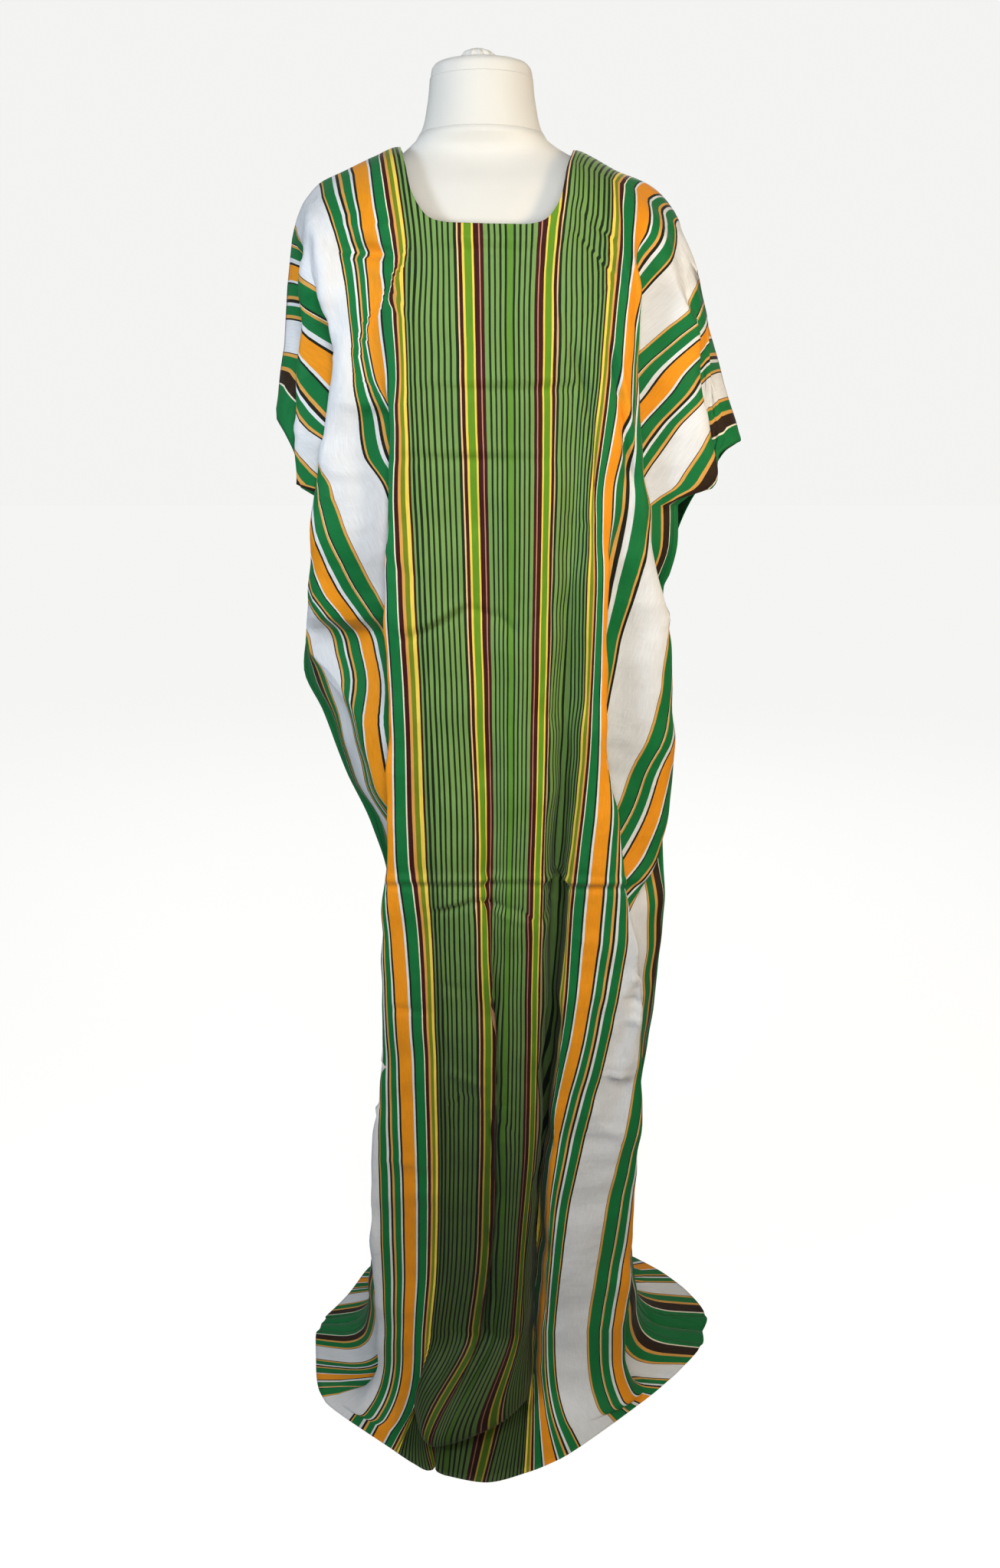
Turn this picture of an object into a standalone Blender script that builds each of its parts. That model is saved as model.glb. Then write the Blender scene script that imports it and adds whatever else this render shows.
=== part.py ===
"""Baati dress resting on a limbless dress form.

Frame: origin on the floor under the middle of the base, +Z up, the front of the dress faces -Y.
The tables are in millimetres and are brought to metres by MM.
"""
import math

import bmesh
import bpy
import numpy as np

MM = 0.001
WALL = 1.6            # thickness of the cloth wall
GAP = 0.3             # air between pieces that touch
MIDDLE_FOLD = 10.0    # number of the fold in the middle of the front
BACK_DEPTH = 105.0    # how far the back hangs behind the middle of the form
BACK_HEM = 257.0      # how far behind the middle of the form the back hem lies
BACK_SLIDE = 160.0    # pulls the corners of the back hem to the right on the floor

# The shoulder fold, from the end of one sleeve to the end of the other: u is the place across the
# cloth, counted from the middle of the pattern.
#        u     x     y     z    roll
RIDGE = (
    (-420, -231, -25, 1288, 14),
    (-391, -227, -23, 1324, 14),
    (-344, -218, -20, 1372, 14),
    (-318, -215, -18, 1399, 15),
    (-283, -212, -14, 1438, 17),
    (-232, -203, -8, 1482, 26),
    (-200, -190, -4, 1508, 40),
    (-180, -177, -2, 1522, 50),
    (-152, -149, 0, 1534, 62),
    (-121, -117, 0, 1547, 72),
    (-95, -90, 0, 1556, 80),
    (50, 91, 0, 1553, 80),
    (101, 141, 0, 1533, 66),
    (129, 169, 0, 1523, 56),
    (144, 184, 0, 1513, 50),
    (161, 195, -2, 1501, 42),
    (180, 204, -4, 1487, 34),
    (205, 209, -8, 1466, 28),
    (232, 224, -12, 1432, 23),
    (269, 236, -16, 1392, 18),
    (286, 243, -18, 1374, 16),
    (329, 255, -22, 1334, 14),
    (359, 263, -23, 1311, 14),
    (391, 275, -24, 1281, 14),
    (408, 280, -25, 1265, 14),
)

# The neck hole: its ends at the shoulder fold, its depth in each half, and its curve from an end to
# the middle as shares of half the width and of the depth.
NECK_ENDS = (-95.0, 50.0)
NECK_FRONT = 83.5
NECK_BACK = 34.0
#            across  down
NECK_LINE = ((0.0, 0.0), (0.028, 0.19), (0.055, 0.36), (0.10, 0.53), (0.16, 0.67), (0.26, 0.81),
             (0.40, 0.92), (0.62, 0.985), (1.0, 1.0))

# The folds of the front, each followed down the cloth: height z, place across the cloth u, and x, y.
MIDDLE = (
    (1560, 0, 24, -84), (1474, 0, 24, -97), (1400, 0, 24, -110), (1300, 0, 25, -118),
    (1100, 0, 26, -120), (900, 0, 26, -120), (600, 0, 27, -122), (300, 0, 24, -124),
    (200, 0, 15, -126), (120, 0, 9, -128),
)
LEFT = {
    "ply": (
        (1560, -30, -8, -84), (1300, -31, -4, -119), (900, -32, 2, -119), (700, -33, 2, -115),
        (560, -34, 4, -113), (300, -34, 8, -111), (120, -34, 0, -114),
    ),
    "pleat": (
        (1560, -55, -34, -83), (1300, -55, -29, -119), (900, -54, -18, -120),
        (700, -53, -13, -121), (560, -52, -10, -123), (300, -51, -8, -125), (120, -51, -18, -128),
    ),
    "neck": (
        (1556, -95, -88, -84), (1514, -95, -79, -91), (1440, -95, -71, -104), (1380, -95, -74, -112),
        (1280, -95, -72, -119), (1050, -95, -66, -121), (800, -95, -61, -121),
        (600, -95, -57, -122), (430, -95, -56, -124), (250, -95, -60, -126), (120, -95, -72, -128),
    ),
    "edge": (
        (1540, -118, -110, -81), (1440, -124, -100, -101), (1330, -129, -98, -112),
        (1278, -124, -98, -115), (1205, -126, -104, -116), (1113, -134, -110, -117),
        (951, -141, -112, -117), (801, -147, -116, -117), (725, -166, -125, -116),
        (600, -178, -129, -116), (430, -195, -143, -118), (300, -207, -153, -119),
        (120, -206, -149, -120),
    ),
    "tuck": (
        (1540, -136, -127, -76), (1440, -144, -119, -95), (1330, -142, -109, -104),
        (1278, -138, -89, -107), (1205, -153, -80, -107), (1113, -172, -77, -106),
        (1045, -185, -68, -105), (951, -197, -60, -104), (877, -222, -45, -103),
        (801, -252, -28, -102), (725, -262, -40, -101), (600, -268, -50, -100),
        (430, -275, -68, -100), (300, -280, -80, -101), (120, -275, -100, -98),
    ),
    "wing": (
        (1540, -148, -140, -70), (1500, -182, -168, -72), (1467, -203, -172, -80),
        (1430, -216, -170, -86), (1401, -229, -167, -88), (1369, -226, -160, -88),
        (1345, -222, -156, -88), (1309, -225, -165, -87), (1252, -232, -177, -85),
        (1220, -262, -184, -83), (1205, -270, -187, -82), (1157, -292, -193, -76),
        (1110, -318, -200, -60), (1040, -366, -206, -44), (1003, -340, -177, -60),
        (951, -300, -148, -78), (877, -291, -132, -88), (801, -300, -80, -90),
    ),
    "under": (
        (1540, -158, -150, -64), (1500, -196, -180, -64), (1467, -213, -181, -73),
        (1430, -224, -176, -78), (1401, -238, -162, -79), (1369, -250, -141, -79),
        (1345, -258, -126, -79), (1309, -268, -125, -78), (1252, -296, -120, -76),
        (1220, -326, -126, -75), (1205, -345, -122, -74), (1157, -352, -141, -62),
        (1110, -356, -172, -46), (1040, -384, -209, -33), (1003, -365, -191, -46),
        (951, -335, -163, -56), (877, -329, -147, -58), (801, -340, -108, -74),
    ),
    "flap": (
        (1540, -166, -158, -58), (1500, -208, -190, -54), (1467, -220, -185, -62),
        (1430, -234, -190, -65), (1401, -256, -194, -65), (1369, -282, -197, -65),
        (1345, -300, -199, -65), (1309, -322, -202, -64), (1279, -342, -205, -63),
        (1252, -366, -207, -65), (1220, -384, -207, -66), (1206, -392, -166, -66),
        (1157, -386, -158, -54), (1110, -385, -165, -33), (1040, -399, -211, -23),
        (1003, -386, -203, -31), (951, -372, -180, -32), (877, -359, -158, -31),
        (801, -366, -122, -48),
    ),
    "nook": (
        (1540, -174, -166, -50), (1500, -218, -196, -46), (1467, -230, -191, -50),
        (1430, -259, -170, -53), (1401, -284, -169, -53), (1369, -312, -169, -53),
        (1345, -334, -168, -53), (1309, -358, -168, -52), (1279, -384, -172, -52),
        (1252, -396, -186, -56), (1220, -404, -196, -58), (1206, -408, -176, -58),
        (1157, -403, -165, -46), (1110, -403, -170, -20), (1040, -410, -213, -13),
        (1003, -404, -213, -17), (951, -398, -191, -14), (877, -391, -168, -13),
        (801, -394, -132, -22),
    ),
    "end": (
        (1500, -420, -262, -40), (1400, -420, -262, -40), (1288, -420, -231, -34),
        (1273, -420, -221, -41), (1243, -420, -208, -48), (1216, -420, -205, -50),
        (1207, -420, -190, -50), (1170, -420, -170, -39), (1110, -420, -178, -8),
        (1040, -420, -215, -2), (1003, -420, -220, -4), (951, -420, -201, 2),
        (877, -420, -177, 4), (801, -420, -146, 4), (725, -420, -126, 5), (600, -420, -118, 5),
        (430, -420, -125, 5), (300, -420, -145, 5), (200, -420, -163, 3), (120, -420, -172, 2),
    ),
}
RIGHT = {
    "crown": (
        (1553, 50, 89, -84), (1514, 50, 80, -90), (1440, 51, 74, -103), (1335, 52, 72, -114),
        (1205, 52, 71, -119), (951, 52, 68, -120), (725, 52, 64, -121), (434, 52, 60, -123),
        (246, 52, 48, -126), (120, 52, 42, -128),
    ),
    "dip": (
        (1540, 66, 94, -83), (1440, 76, 98, -101), (1335, 80, 98, -110), (1278, 80, 95, -111),
        (1113, 80, 91, -108), (951, 80, 88, -103), (725, 80, 79, -98), (600, 80, 75, -97),
        (434, 90, 69, -90), (300, 102, 66, -84), (120, 106, 60, -86),
    ),
    "lip": (
        (1540, 80, 107, -81), (1440, 102, 123, -99), (1335, 108, 121, -112),
        (1205, 110, 112, -118), (1113, 110, 114, -119), (951, 110, 111, -119),
        (725, 110, 95, -118), (600, 112, 91, -117), (434, 132, 82, -117), (300, 150, 79, -118),
        (120, 158, 74, -121),
    ),
    "edge": (
        (1540, 94, 121, -78), (1470, 112, 135, -93), (1440, 118, 138, -101), (1401, 128, 143, -105),
        (1335, 135, 143, -107), (1278, 138, 139, -109), (1205, 144, 133, -112),
        (1113, 144, 131, -114), (951, 144, 134, -115), (905, 150, 140, -115),
        (858, 160, 149, -115), (801, 172, 156, -114), (725, 190, 169, -112),
        (660, 212, 182, -110), (597, 232, 187, -108), (434, 264, 190, -104),
        (300, 286, 188, -106), (184, 298, 185, -109), (120, 304, 183, -111),
    ),
    "tuck": (
        (1540, 104, 130, -74), (1470, 121, 142, -90), (1440, 125, 145, -97), (1401, 140, 152, -99),
        (1335, 152, 152, -99), (1278, 158, 151, -99), (1205, 160, 148, -102),
        (1113, 153, 124, -103), (951, 162, 118, -103), (905, 172, 118, -102),
        (858, 190, 121, -102), (801, 217, 113, -101), (725, 254, 106, -101),
        (660, 280, 118, -98), (597, 300, 126, -95), (434, 325, 140, -88), (300, 335, 142, -85),
        (120, 340, 150, -84),
    ),
    "wing": (
        (1540, 114, 138, -70), (1500, 122, 147, -79), (1470, 128, 149, -86), (1446, 131, 150, -90),
        (1401, 151, 159, -92), (1365, 161, 156, -94), (1335, 168, 155, -93),
        (1278, 179, 158, -91), (1225, 180, 167, -89), (1202, 181, 172, -89),
        (1160, 188, 177, -88), (1104, 217, 195, -80), (1045, 250, 209, -68),
        (951, 272, 216, -61), (877, 306, 218, -51), (795, 314, 205, -69), (716, 329, 168, -93),
        (630, 332, 166, -92),
    ),
    "under": (
        (1540, 124, 146, -66), (1500, 132, 155, -73), (1470, 139, 157, -78), (1446, 148, 151, -81),
        (1401, 168, 143, -84), (1365, 188, 131, -86), (1335, 209, 121, -85),
        (1278, 236, 112, -83), (1225, 262, 109, -81), (1202, 270, 108, -81),
        (1160, 278, 109, -80), (1104, 305, 125, -70), (1045, 315, 160, -56),
        (951, 325, 177, -45), (877, 340, 191, -39), (795, 342, 183, -57), (716, 350, 186, -85),
        (630, 352, 184, -84),
    ),
    "flap": (
        (1540, 134, 154, -60), (1500, 146, 166, -64), (1470, 160, 178, -68), (1446, 175, 186, -70),
        (1401, 225, 207, -68), (1365, 276, 222, -65), (1335, 306, 226, -64),
        (1311, 325, 231, -65), (1278, 358, 236, -66), (1255, 375, 242, -67),
        (1225, 392, 249, -67), (1210, 395, 238, -68), (1202, 375, 189, -73),
        (1160, 372, 188, -72), (1104, 365, 170, -60), (1045, 350, 160, -45),
        (951, 355, 177, -32), (877, 362, 191, -28), (795, 365, 188, -46), (716, 372, 203, -75),
        (630, 373, 200, -72),
    ),
    "nook": (
        (1540, 144, 162, -52), (1500, 156, 176, -52), (1470, 172, 190, -54), (1446, 190, 200, -56),
        (1401, 237, 213, -55), (1365, 277, 223, -53), (1335, 308, 222, -52),
        (1311, 334, 224, -53), (1278, 371, 226, -54), (1255, 389, 230, -57),
        (1225, 400, 237, -59), (1210, 402, 226, -60), (1202, 392, 200, -65),
        (1160, 391, 200, -64), (1104, 388, 186, -50), (1045, 380, 178, -36),
        (951, 382, 190, -22), (877, 386, 202, -20), (795, 388, 204, -38), (716, 390, 215, -63),
        (630, 391, 212, -60),
    ),
    "end": (
        (1500, 408, 300, -38), (1400, 408, 300, -38), (1265, 408, 280, -34), (1257, 408, 262, -42),
        (1249, 408, 253, -47), (1225, 408, 250, -51), (1211, 408, 238, -52), (1202, 408, 209, -57),
        (1160, 408, 211, -56), (1122, 408, 206, -46), (1104, 408, 200, -40),
        (1045, 408, 200, -27), (951, 408, 206, -12), (877, 408, 212, -10), (795, 408, 214, -28),
        (716, 408, 216, -47), (630, 408, 213, -46), (500, 408, 205, -32), (300, 408, 192, -10),
        (120, 408, 205, 0),
    ),
}
FOLDS = ("end", "nook", "flap", "under", "wing", "tuck", "edge")
LEFT_ORDER = FOLDS + ("neck", "pleat", "ply")
RIGHT_ORDER = ("crown", "dip", "lip") + FOLDS[::-1]

# The sleeve ends of the back, from the shoulder fold down to the underarm.
BACK_END_LEFT = (
    (1500, -420, -262, 10), (1400, -420, -262, 10), (1288, -420, -231, -15),
    (1273, -420, -224, -3), (1243, -420, -214, 12), (1207, -420, -203, 22),
    (1170, -420, -188, 18), (1110, -420, -178, -8),
)
BACK_END_RIGHT = (
    (1500, 408, 300, 10), (1400, 408, 300, 10), (1265, 408, 280, -16), (1252, 408, 268, -2),
    (1225, 408, 254, 10), (1202, 408, 238, 14), (1160, 408, 218, 2), (1122, 408, 206, -26),
    (1104, 408, 200, -40),
)
UNDERARM = (1110.0, 1104.0)   # height of the left and the right underarm

# Where each fold comes to on the floor, from the left to the right: u, x, y.
HEM = (
    (-420, -252, 16), (-392, -257, -2), (-360, -254, -26), (-328, -250, -50), (-294, -246, -74),
    (-258, -240, -98), (-222, -226, -124), (-110, -124, -202), (-58, -96, -224),
    (-30, -78, -233), (0, -56, -238), (52, -4, -248), (106, 48, -234), (150, 92, -214),
    (300, 229, -108), (320, 246, -92), (340, 262, -77), (358, 276, -62), (375, 290, -47),
    (392, 304, -28), (408, 313, 2),
)
# How the cloth turns out on to the floor: height, and how far it has come from the hanging
# section (0) to the hem (1).
FOOT = ((120, 0.0), (70, 0.05), (40, 0.14), (20, 0.30), (10, 0.50), (5, 0.75), (1.2, 1.0))
# Hidden side cloth below the drawn folds is rounded from the tuck to the seam in this many steps.
ROUND_FROM = (801, 630)
ROUND_LEVELS = (725, 600, 430, 300, 200, 120)
ROUND_STEPS = (0.2, 0.42, 0.63, 0.82)

# Rows of the wall: steps over the shoulder roll, steps down to the sleeve ends, then levels.
ROLL_STEPS = (0.0, 0.22, 0.44, 0.68, 1.0)
SLEEVE_STEPS = (0.16, 0.32, 0.49, 0.66, 0.83, 1.0)
SLEEVE_FOOT = 1215.0
LEVELS = (1203, 1166, 1132, 1104, 1050, 980, 900, 800, 760, 720, 620, 480, 330, 210, 120, 40, 20,
          9, 1.2)
# Columns of the wall: a fold has one on its crest and one close by on each side of it.
TURN = 0.15
DEEP_SPLIT = (0.0, TURN, 1 - TURN)
END_SPLIT = (0.0, TURN, 0.5, 1 - TURN)
NECK_SPLIT = (0.0, 0.08, 0.2, 0.4, 0.68)
SPLITS = ((END_SPLIT,) + (DEEP_SPLIT,) * 5 + ((0.0, TURN, 0.5),) + (NECK_SPLIT,)
          + ((0.0,),) * 2 + ((0.0, 0.32, 0.6, 0.8, 0.92), (0.0, 1 - TURN), (0.0, TURN))
          + ((0.0, 0.5, 1 - TURN),) + (DEEP_SPLIT,) * 5 + ((0.0, 0.05, 0.2, 0.6),))

# Dress form: height, half width, half depth, and how far its middle lies forward (-) or back (+) and
# to the left (-).
TORSO = (
    (790, 118, 62, 0, 0), (800, 130, 76, 0, 0), (860, 138, 84, 0, 0), (940, 128, 80, 0, 0),
    (1040, 112, 72, 0, 0), (1120, 108, 70, 0, 0), (1200, 118, 76, 0, 0), (1290, 132, 82, -2, 0),
    (1370, 142, 86, -3, 0), (1430, 152, 86, -3, 0), (1475, 162, 82, -3, 0), (1512, 160, 68, -2, 0),
    (1527.4, 146, 56, -2, 0), (1538.4, 119, 48, -2, 0), (1546, 93, 44, -2, -1),
    (1552, 83, 43, -3, -3), (1556, 76, 45, -3, -4), (1561, 69, 48, -4, -5), (1568, 64.5, 50, -4, -5),
)
NECK = (
    (1568.3, 64, 50, -4, -5), (1577, 60, 49, -4, -5), (1590, 57, 47.5, -4, -5),
    (1604, 54.5, 46, -4, -5), (1618, 53, 44, -4, -5),
)
CAP = (
    (1618.3, 52.6, 43.5, -4, -5), (1626, 51, 41.5, -4, -5), (1631, 47, 37, -4, -5),
    (1634, 38, 28, -4, -5), (1636, 24, 17, -4, -5),
)
KNOB = (
    (1636.3, 21, 14, -4, -7), (1640.5, 16, 13, -4, -8), (1643.5, 12, 10, -4, -9),
    (1645.5, 6, 5, -4, -9),
)
POLE_RADIUS = 16.0
BASE_RADIUS = 135.0
BASE_HEIGHT = 14.0
BASE_EDGE = 2.5
RING = 32

CLOTH_COLOUR = (0.16, 0.36, 0.13, 1.0)
BACK_COLOUR = (0.14, 0.32, 0.12, 1.0)
FORM_COLOUR = (0.86, 0.83, 0.78, 1.0)
METAL_COLOUR = (0.45, 0.45, 0.46, 1.0)


def limited_slopes(steps, gaps):
    """Slopes at the knots of a curve that never overshoots them."""
    inner = np.zeros_like(steps[1:])
    same = steps[:-1] * steps[1:] > 0
    weight_a = (2 * gaps[1:] + gaps[:-1])
    weight_b = (gaps[1:] + 2 * gaps[:-1])
    safe_a = np.where(same, steps[:-1], 1.0)
    safe_b = np.where(same, steps[1:], 1.0)
    mean = (weight_a + weight_b) / (weight_a / safe_a + weight_b / safe_b)
    inner = np.where(same, mean, 0.0)
    return np.concatenate([steps[:1], inner, steps[-1:]])


def hermite(a, b, slope_a, slope_b, t):
    """Cubic from a to b with the two slopes given per unit of t."""
    return (a * (1 + 2 * t) * (1 - t) ** 2 + b * t * t * (3 - 2 * t)
            + slope_a * t * (1 - t) ** 2 - slope_b * t * t * (1 - t))


def through(knots, values, at):
    """Smooth curve through a table column, held level beyond its ends."""
    knots = np.asarray(knots, float)
    values = np.asarray(values, float)
    if knots[0] > knots[-1]:
        knots, values = knots[::-1], values[::-1]
    gaps = np.diff(knots)
    slopes = limited_slopes(np.diff(values) / gaps, gaps)
    at = np.clip(at, knots[0], knots[-1])
    i = np.clip(np.searchsorted(knots, at, side="right") - 1, 0, len(gaps) - 1)
    t = (at - knots[i]) / gaps[i]
    return hermite(values[i], values[i + 1], slopes[i] * gaps[i], slopes[i + 1] * gaps[i], t)


def rounded(table, tuck, end, top):
    """Adds the rows below the drawn folds, on a quarter ellipse from the tuck to the seam."""
    out = {name: list(rows) for name, rows in table.items()}
    for level in ROUND_LEVELS:
        if level >= top:
            continue
        a = [float(through([r[0] for r in tuck], [r[k] for r in tuck], level)) for k in (1, 2, 3)]
        b = [float(through([r[0] for r in end], [r[k] for r in end], level)) for k in (1, 2, 3)]
        for name, part in zip(("wing", "under", "flap", "nook"), ROUND_STEPS):
            across = math.sin(part * math.pi / 2)
            deep = 1 - math.cos(part * math.pi / 2)
            out[name].append((level, a[0] + (b[0] - a[0]) * part,
                              a[1] + (b[1] - a[1]) * across, a[2] + (b[2] - a[2]) * deep))
    return out


def tracks():
    """All the folds of the front from left to right, each as rows of z, u, x, y."""
    left = rounded(LEFT, LEFT["tuck"], LEFT["end"], ROUND_FROM[0])
    right = rounded(RIGHT, RIGHT["tuck"], RIGHT["end"], ROUND_FROM[1])
    rows = [left[name] for name in LEFT_ORDER] + [list(MIDDLE)]
    return rows + [right[name] for name in RIGHT_ORDER]


def section(folds, w, z):
    """u, x, y of the hanging cloth at fold number w (may lie between two folds) and height z."""
    w = np.asarray(w, float)
    z = np.asarray(z, float)
    high = np.maximum(z, FOOT[0][0])
    spread = through([r[0] for r in FOOT], [r[1] for r in FOOT], z)
    knots = []
    for column in (1, 2, 3):
        line = np.array([through([r[0] for r in rows], [r[column] for r in rows], high)
                         for rows in folds])
        target = np.array([r[column - 1] for r in HEM], float).reshape((-1,) + (1,) * z.ndim)
        knots.append(line + (target - line) * spread)
    steps = [np.diff(line, axis=0) for line in knots]
    slopes = [limited_slopes(step, np.ones_like(step)) for step in steps]
    before, after = [slope.copy() for slope in slopes], [slope.copy() for slope in slopes]
    turn = turning(steps[1], steps[2])
    for side, step in ((before, np.concatenate([steps[2][:1], steps[2]])),
                       (after, np.concatenate([steps[2], steps[2][-1:]]))):
        side[1] = side[1] * (1 - turn)
        side[2] = side[2] + (3.0 * step - side[2]) * turn
    i = np.clip(np.floor(w).astype(int), 0, len(folds) - 2)
    at = tuple(np.indices(z.shape))
    return [hermite(knots[k][(i,) + at], knots[k][(i + 1,) + at], after[k][(i,) + at],
                    before[k][(i + 1,) + at], w - i) for k in range(3)]


def turning(step_x, step_y):
    """How far the cloth turns back sideways at each fold: 0 runs on, 1 is a full fold."""
    length = np.maximum(np.hypot(step_x, step_y), 1e-6)
    back = -2.0 * step_x[1:] * step_x[:-1] / (length[1:] * length[:-1])
    ends = np.ones_like(step_x[:1])
    return np.concatenate([ends, np.clip(back, 0.0, 1.0), ends])


def ridge(u):
    """x, y, z and roll depth of the shoulder fold at a place across the cloth."""
    places = [r[0] for r in RIDGE]
    return [through(places, [r[k] for r in RIDGE], u) for k in (1, 2, 3, 4)]


def top_of(u, depth):
    """Height at which the cloth starts: the shoulder fold, or the edge of the neck hole."""
    half = 0.5 * (NECK_ENDS[1] - NECK_ENDS[0])
    inside = np.minimum(u - NECK_ENDS[0], NECK_ENDS[1] - u) / half
    drop = through([r[0] for r in NECK_LINE], [r[1] for r in NECK_LINE], inside)
    return ridge(u)[2] - depth * drop


def columns():
    """Fold numbers of the columns of the wall."""
    out = [k + part for k, parts in enumerate(SPLITS) for part in parts]
    return np.array(out + [float(len(SPLITS))])


def sheet(folds, w, neck, side):
    """Middle surface of one half of the cloth as a grid of points: rows go down the cloth."""
    low = np.full(w.shape, 1150.0)
    high = np.full(w.shape, 1562.0)
    for _ in range(44):
        mid = 0.5 * (low + high)
        above = mid > top_of(section(folds, w, mid)[0], neck)
        high = np.where(above, mid, high)
        low = np.where(above, low, mid)
    start = 0.5 * (low + high)
    u = section(folds, w, start)[0]
    roll_foot = np.minimum(ridge(u)[2] - ridge(u)[3], start - 12.0)
    heights = [start - (start - roll_foot) * (1 - math.cos(s * math.pi / 2)) for s in ROLL_STEPS]
    heights += [roll_foot + (SLEEVE_FOOT - roll_foot) * s for s in SLEEVE_STEPS]
    heights += [np.full(w.shape, float(level)) for level in LEVELS]
    z = np.array(heights)
    u, x, y = section(folds, np.broadcast_to(w, z.shape), z)
    if side > 0:
        x, y = back_place(folds, w, z, x, y)
    rx, ry, rz, depth = ridge(u)
    s = np.clip((rz - z) / depth, 0, 1)
    roll = np.sqrt(np.clip(1 - (1 - s) ** 2, 0, 1))
    y = ry + (y - ry) * roll
    x = rx + (x - rx) * np.clip(roll * 1.6, 0, 1)
    return np.stack([x, y, z], axis=-1)


def back_place(folds, w, z, x, y):
    """The back hangs as the front does, turned over the line through its two side seams."""
    front = section(folds, np.full(z.shape, MIDDLE_FOLD), z)[2]
    left = section(folds, np.zeros(z.shape), z)[2]
    right = section(folds, np.full(z.shape, len(folds) - 1.0), z)[2]
    seam = left + (right - left) * np.clip(w / (len(folds) - 1), 0, 1)
    spread = through([r[0] for r in FOOT], [r[1] for r in FOOT], z)
    back = BACK_DEPTH + (BACK_HEM - BACK_DEPTH) * spread
    share = (seam - y) / np.maximum(seam - front, 1.0)
    slide = BACK_SLIDE * spread * np.clip(share * (1 - share), 0, 1)
    return x + slide, seam + (back - seam) * share


def triangles(grid):
    """Corners of the triangles of a grid, each cell cut along its shorter diagonal."""
    down = np.linalg.norm(grid[1:, 1:] - grid[:-1, :-1], axis=-1)
    up = np.linalg.norm(grid[1:, :-1] - grid[:-1, 1:], axis=-1)
    out = []
    for i in range(grid.shape[0] - 1):
        for j in range(grid.shape[1] - 1):
            a, b, c, d = (i, j), (i + 1, j), (i + 1, j + 1), (i, j + 1)
            out += [(a, b, c), (a, c, d)] if down[i, j] < up[i, j] else [(a, b, d), (b, c, d)]
    return out


def wall(name, grid, seam_rows, side):
    """Closed wall of WALL thickness on a grid, its fold and seam edges cut square to y."""
    cells = triangles(grid)
    normal = np.zeros_like(grid)
    for a, b, c in cells:
        face = np.cross(grid[b] - grid[a], grid[c] - grid[a]) * -side
        for corner in (a, b, c):
            normal[corner] += face
    normal /= np.maximum(np.linalg.norm(normal, axis=-1, keepdims=True), 1e-9)
    outer = grid + normal * WALL / 2
    inner = grid - normal * WALL / 2
    for face in (outer, inner):
        face[0, :, 1] = grid[0, :, 1] + side * GAP / 2
        for column in (0, -1):
            face[seam_rows:, column, 1] = grid[seam_rows:, column, 1] + side * GAP / 2
    rows, cols = grid.shape[:2]
    count = rows * cols
    points = np.concatenate([outer.reshape(-1, 3), inner.reshape(-1, 3)]) * MM
    at = lambda i, j, k: k * count + i * cols + j
    faces = []
    for corners in cells:
        faces.append([at(i, j, 0) for i, j in corners])
        faces.append([at(i, j, 1) for i, j in reversed(corners)])
    for i in range(rows - 1):
        for j, k in ((0, 0), (cols - 1, 1)):
            faces.append((at(i, j, k), at(i, j, 1 - k), at(i + 1, j, 1 - k), at(i + 1, j, k)))
    for j in range(cols - 1):
        for i, k in ((0, 1), (rows - 1, 0)):
            faces.append((at(i, j, k), at(i, j, 1 - k), at(i, j + 1, 1 - k), at(i, j + 1, k)))
    return solid(name, points, faces)


def solid(name, points, faces):
    """Mesh object with its faces turned outwards."""
    mesh = bpy.data.meshes.new(name)
    mesh.from_pydata([tuple(p) for p in points], [], faces)
    mesh.update()
    work = bmesh.new()
    work.from_mesh(mesh)
    bmesh.ops.recalc_face_normals(work, faces=work.faces)
    work.to_mesh(mesh)
    work.free()
    thing = bpy.data.objects.new(name, mesh)
    PARTS.objects.link(thing)
    return thing


def loft(name, table, ring=RING):
    """Closed body through level ellipses: height, half width, half depth, and where the middle is."""
    points = []
    for z, half_x, half_y, forward, left in table:
        for k in range(ring):
            a = 2 * math.pi * k / ring
            x = left + half_x * math.cos(a)
            y = forward + half_y * math.sin(a)
            points.append((x * MM, y * MM, z * MM))
    faces = []
    for r in range(len(table) - 1):
        for k in range(ring):
            n = (k + 1) % ring
            faces.append((r * ring + k, r * ring + n, (r + 1) * ring + n, (r + 1) * ring + k))
    faces.append(tuple(range(ring))[::-1])
    faces.append(tuple((len(table) - 1) * ring + k for k in range(ring)))
    return solid(name, points, faces)


def round_bar(name, radius, low, high, sides):
    """Upright cylinder between two heights."""
    bpy.ops.mesh.primitive_cylinder_add(vertices=sides, radius=radius * MM,
                                        depth=(high - low) * MM, location=(0, 0, 0))
    bar = bpy.context.object
    bar.name = name
    bar.data.name = name
    bar.location.z = 0.5 * (low + high) * MM
    for holder in list(bar.users_collection):
        holder.objects.unlink(bar)
    PARTS.objects.link(bar)
    bar.data.set_sharp_from_angle(angle=math.radians(40))
    return bar


def material(thing, name, colour, rough):
    """Own soft material of one part."""
    look = bpy.data.materials.new(name)
    look.use_nodes = True
    shader = look.node_tree.nodes["Principled BSDF"]
    shader.inputs["Base Color"].default_value = colour
    shader.inputs["Roughness"].default_value = rough
    thing.data.materials.append(look)


for old in list(bpy.data.objects):
    bpy.data.objects.remove(old, do_unlink=True)
PARTS = bpy.data.collections.new("baati_dress_on_dress_form")
bpy.context.scene.collection.children.link(PARTS)

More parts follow.
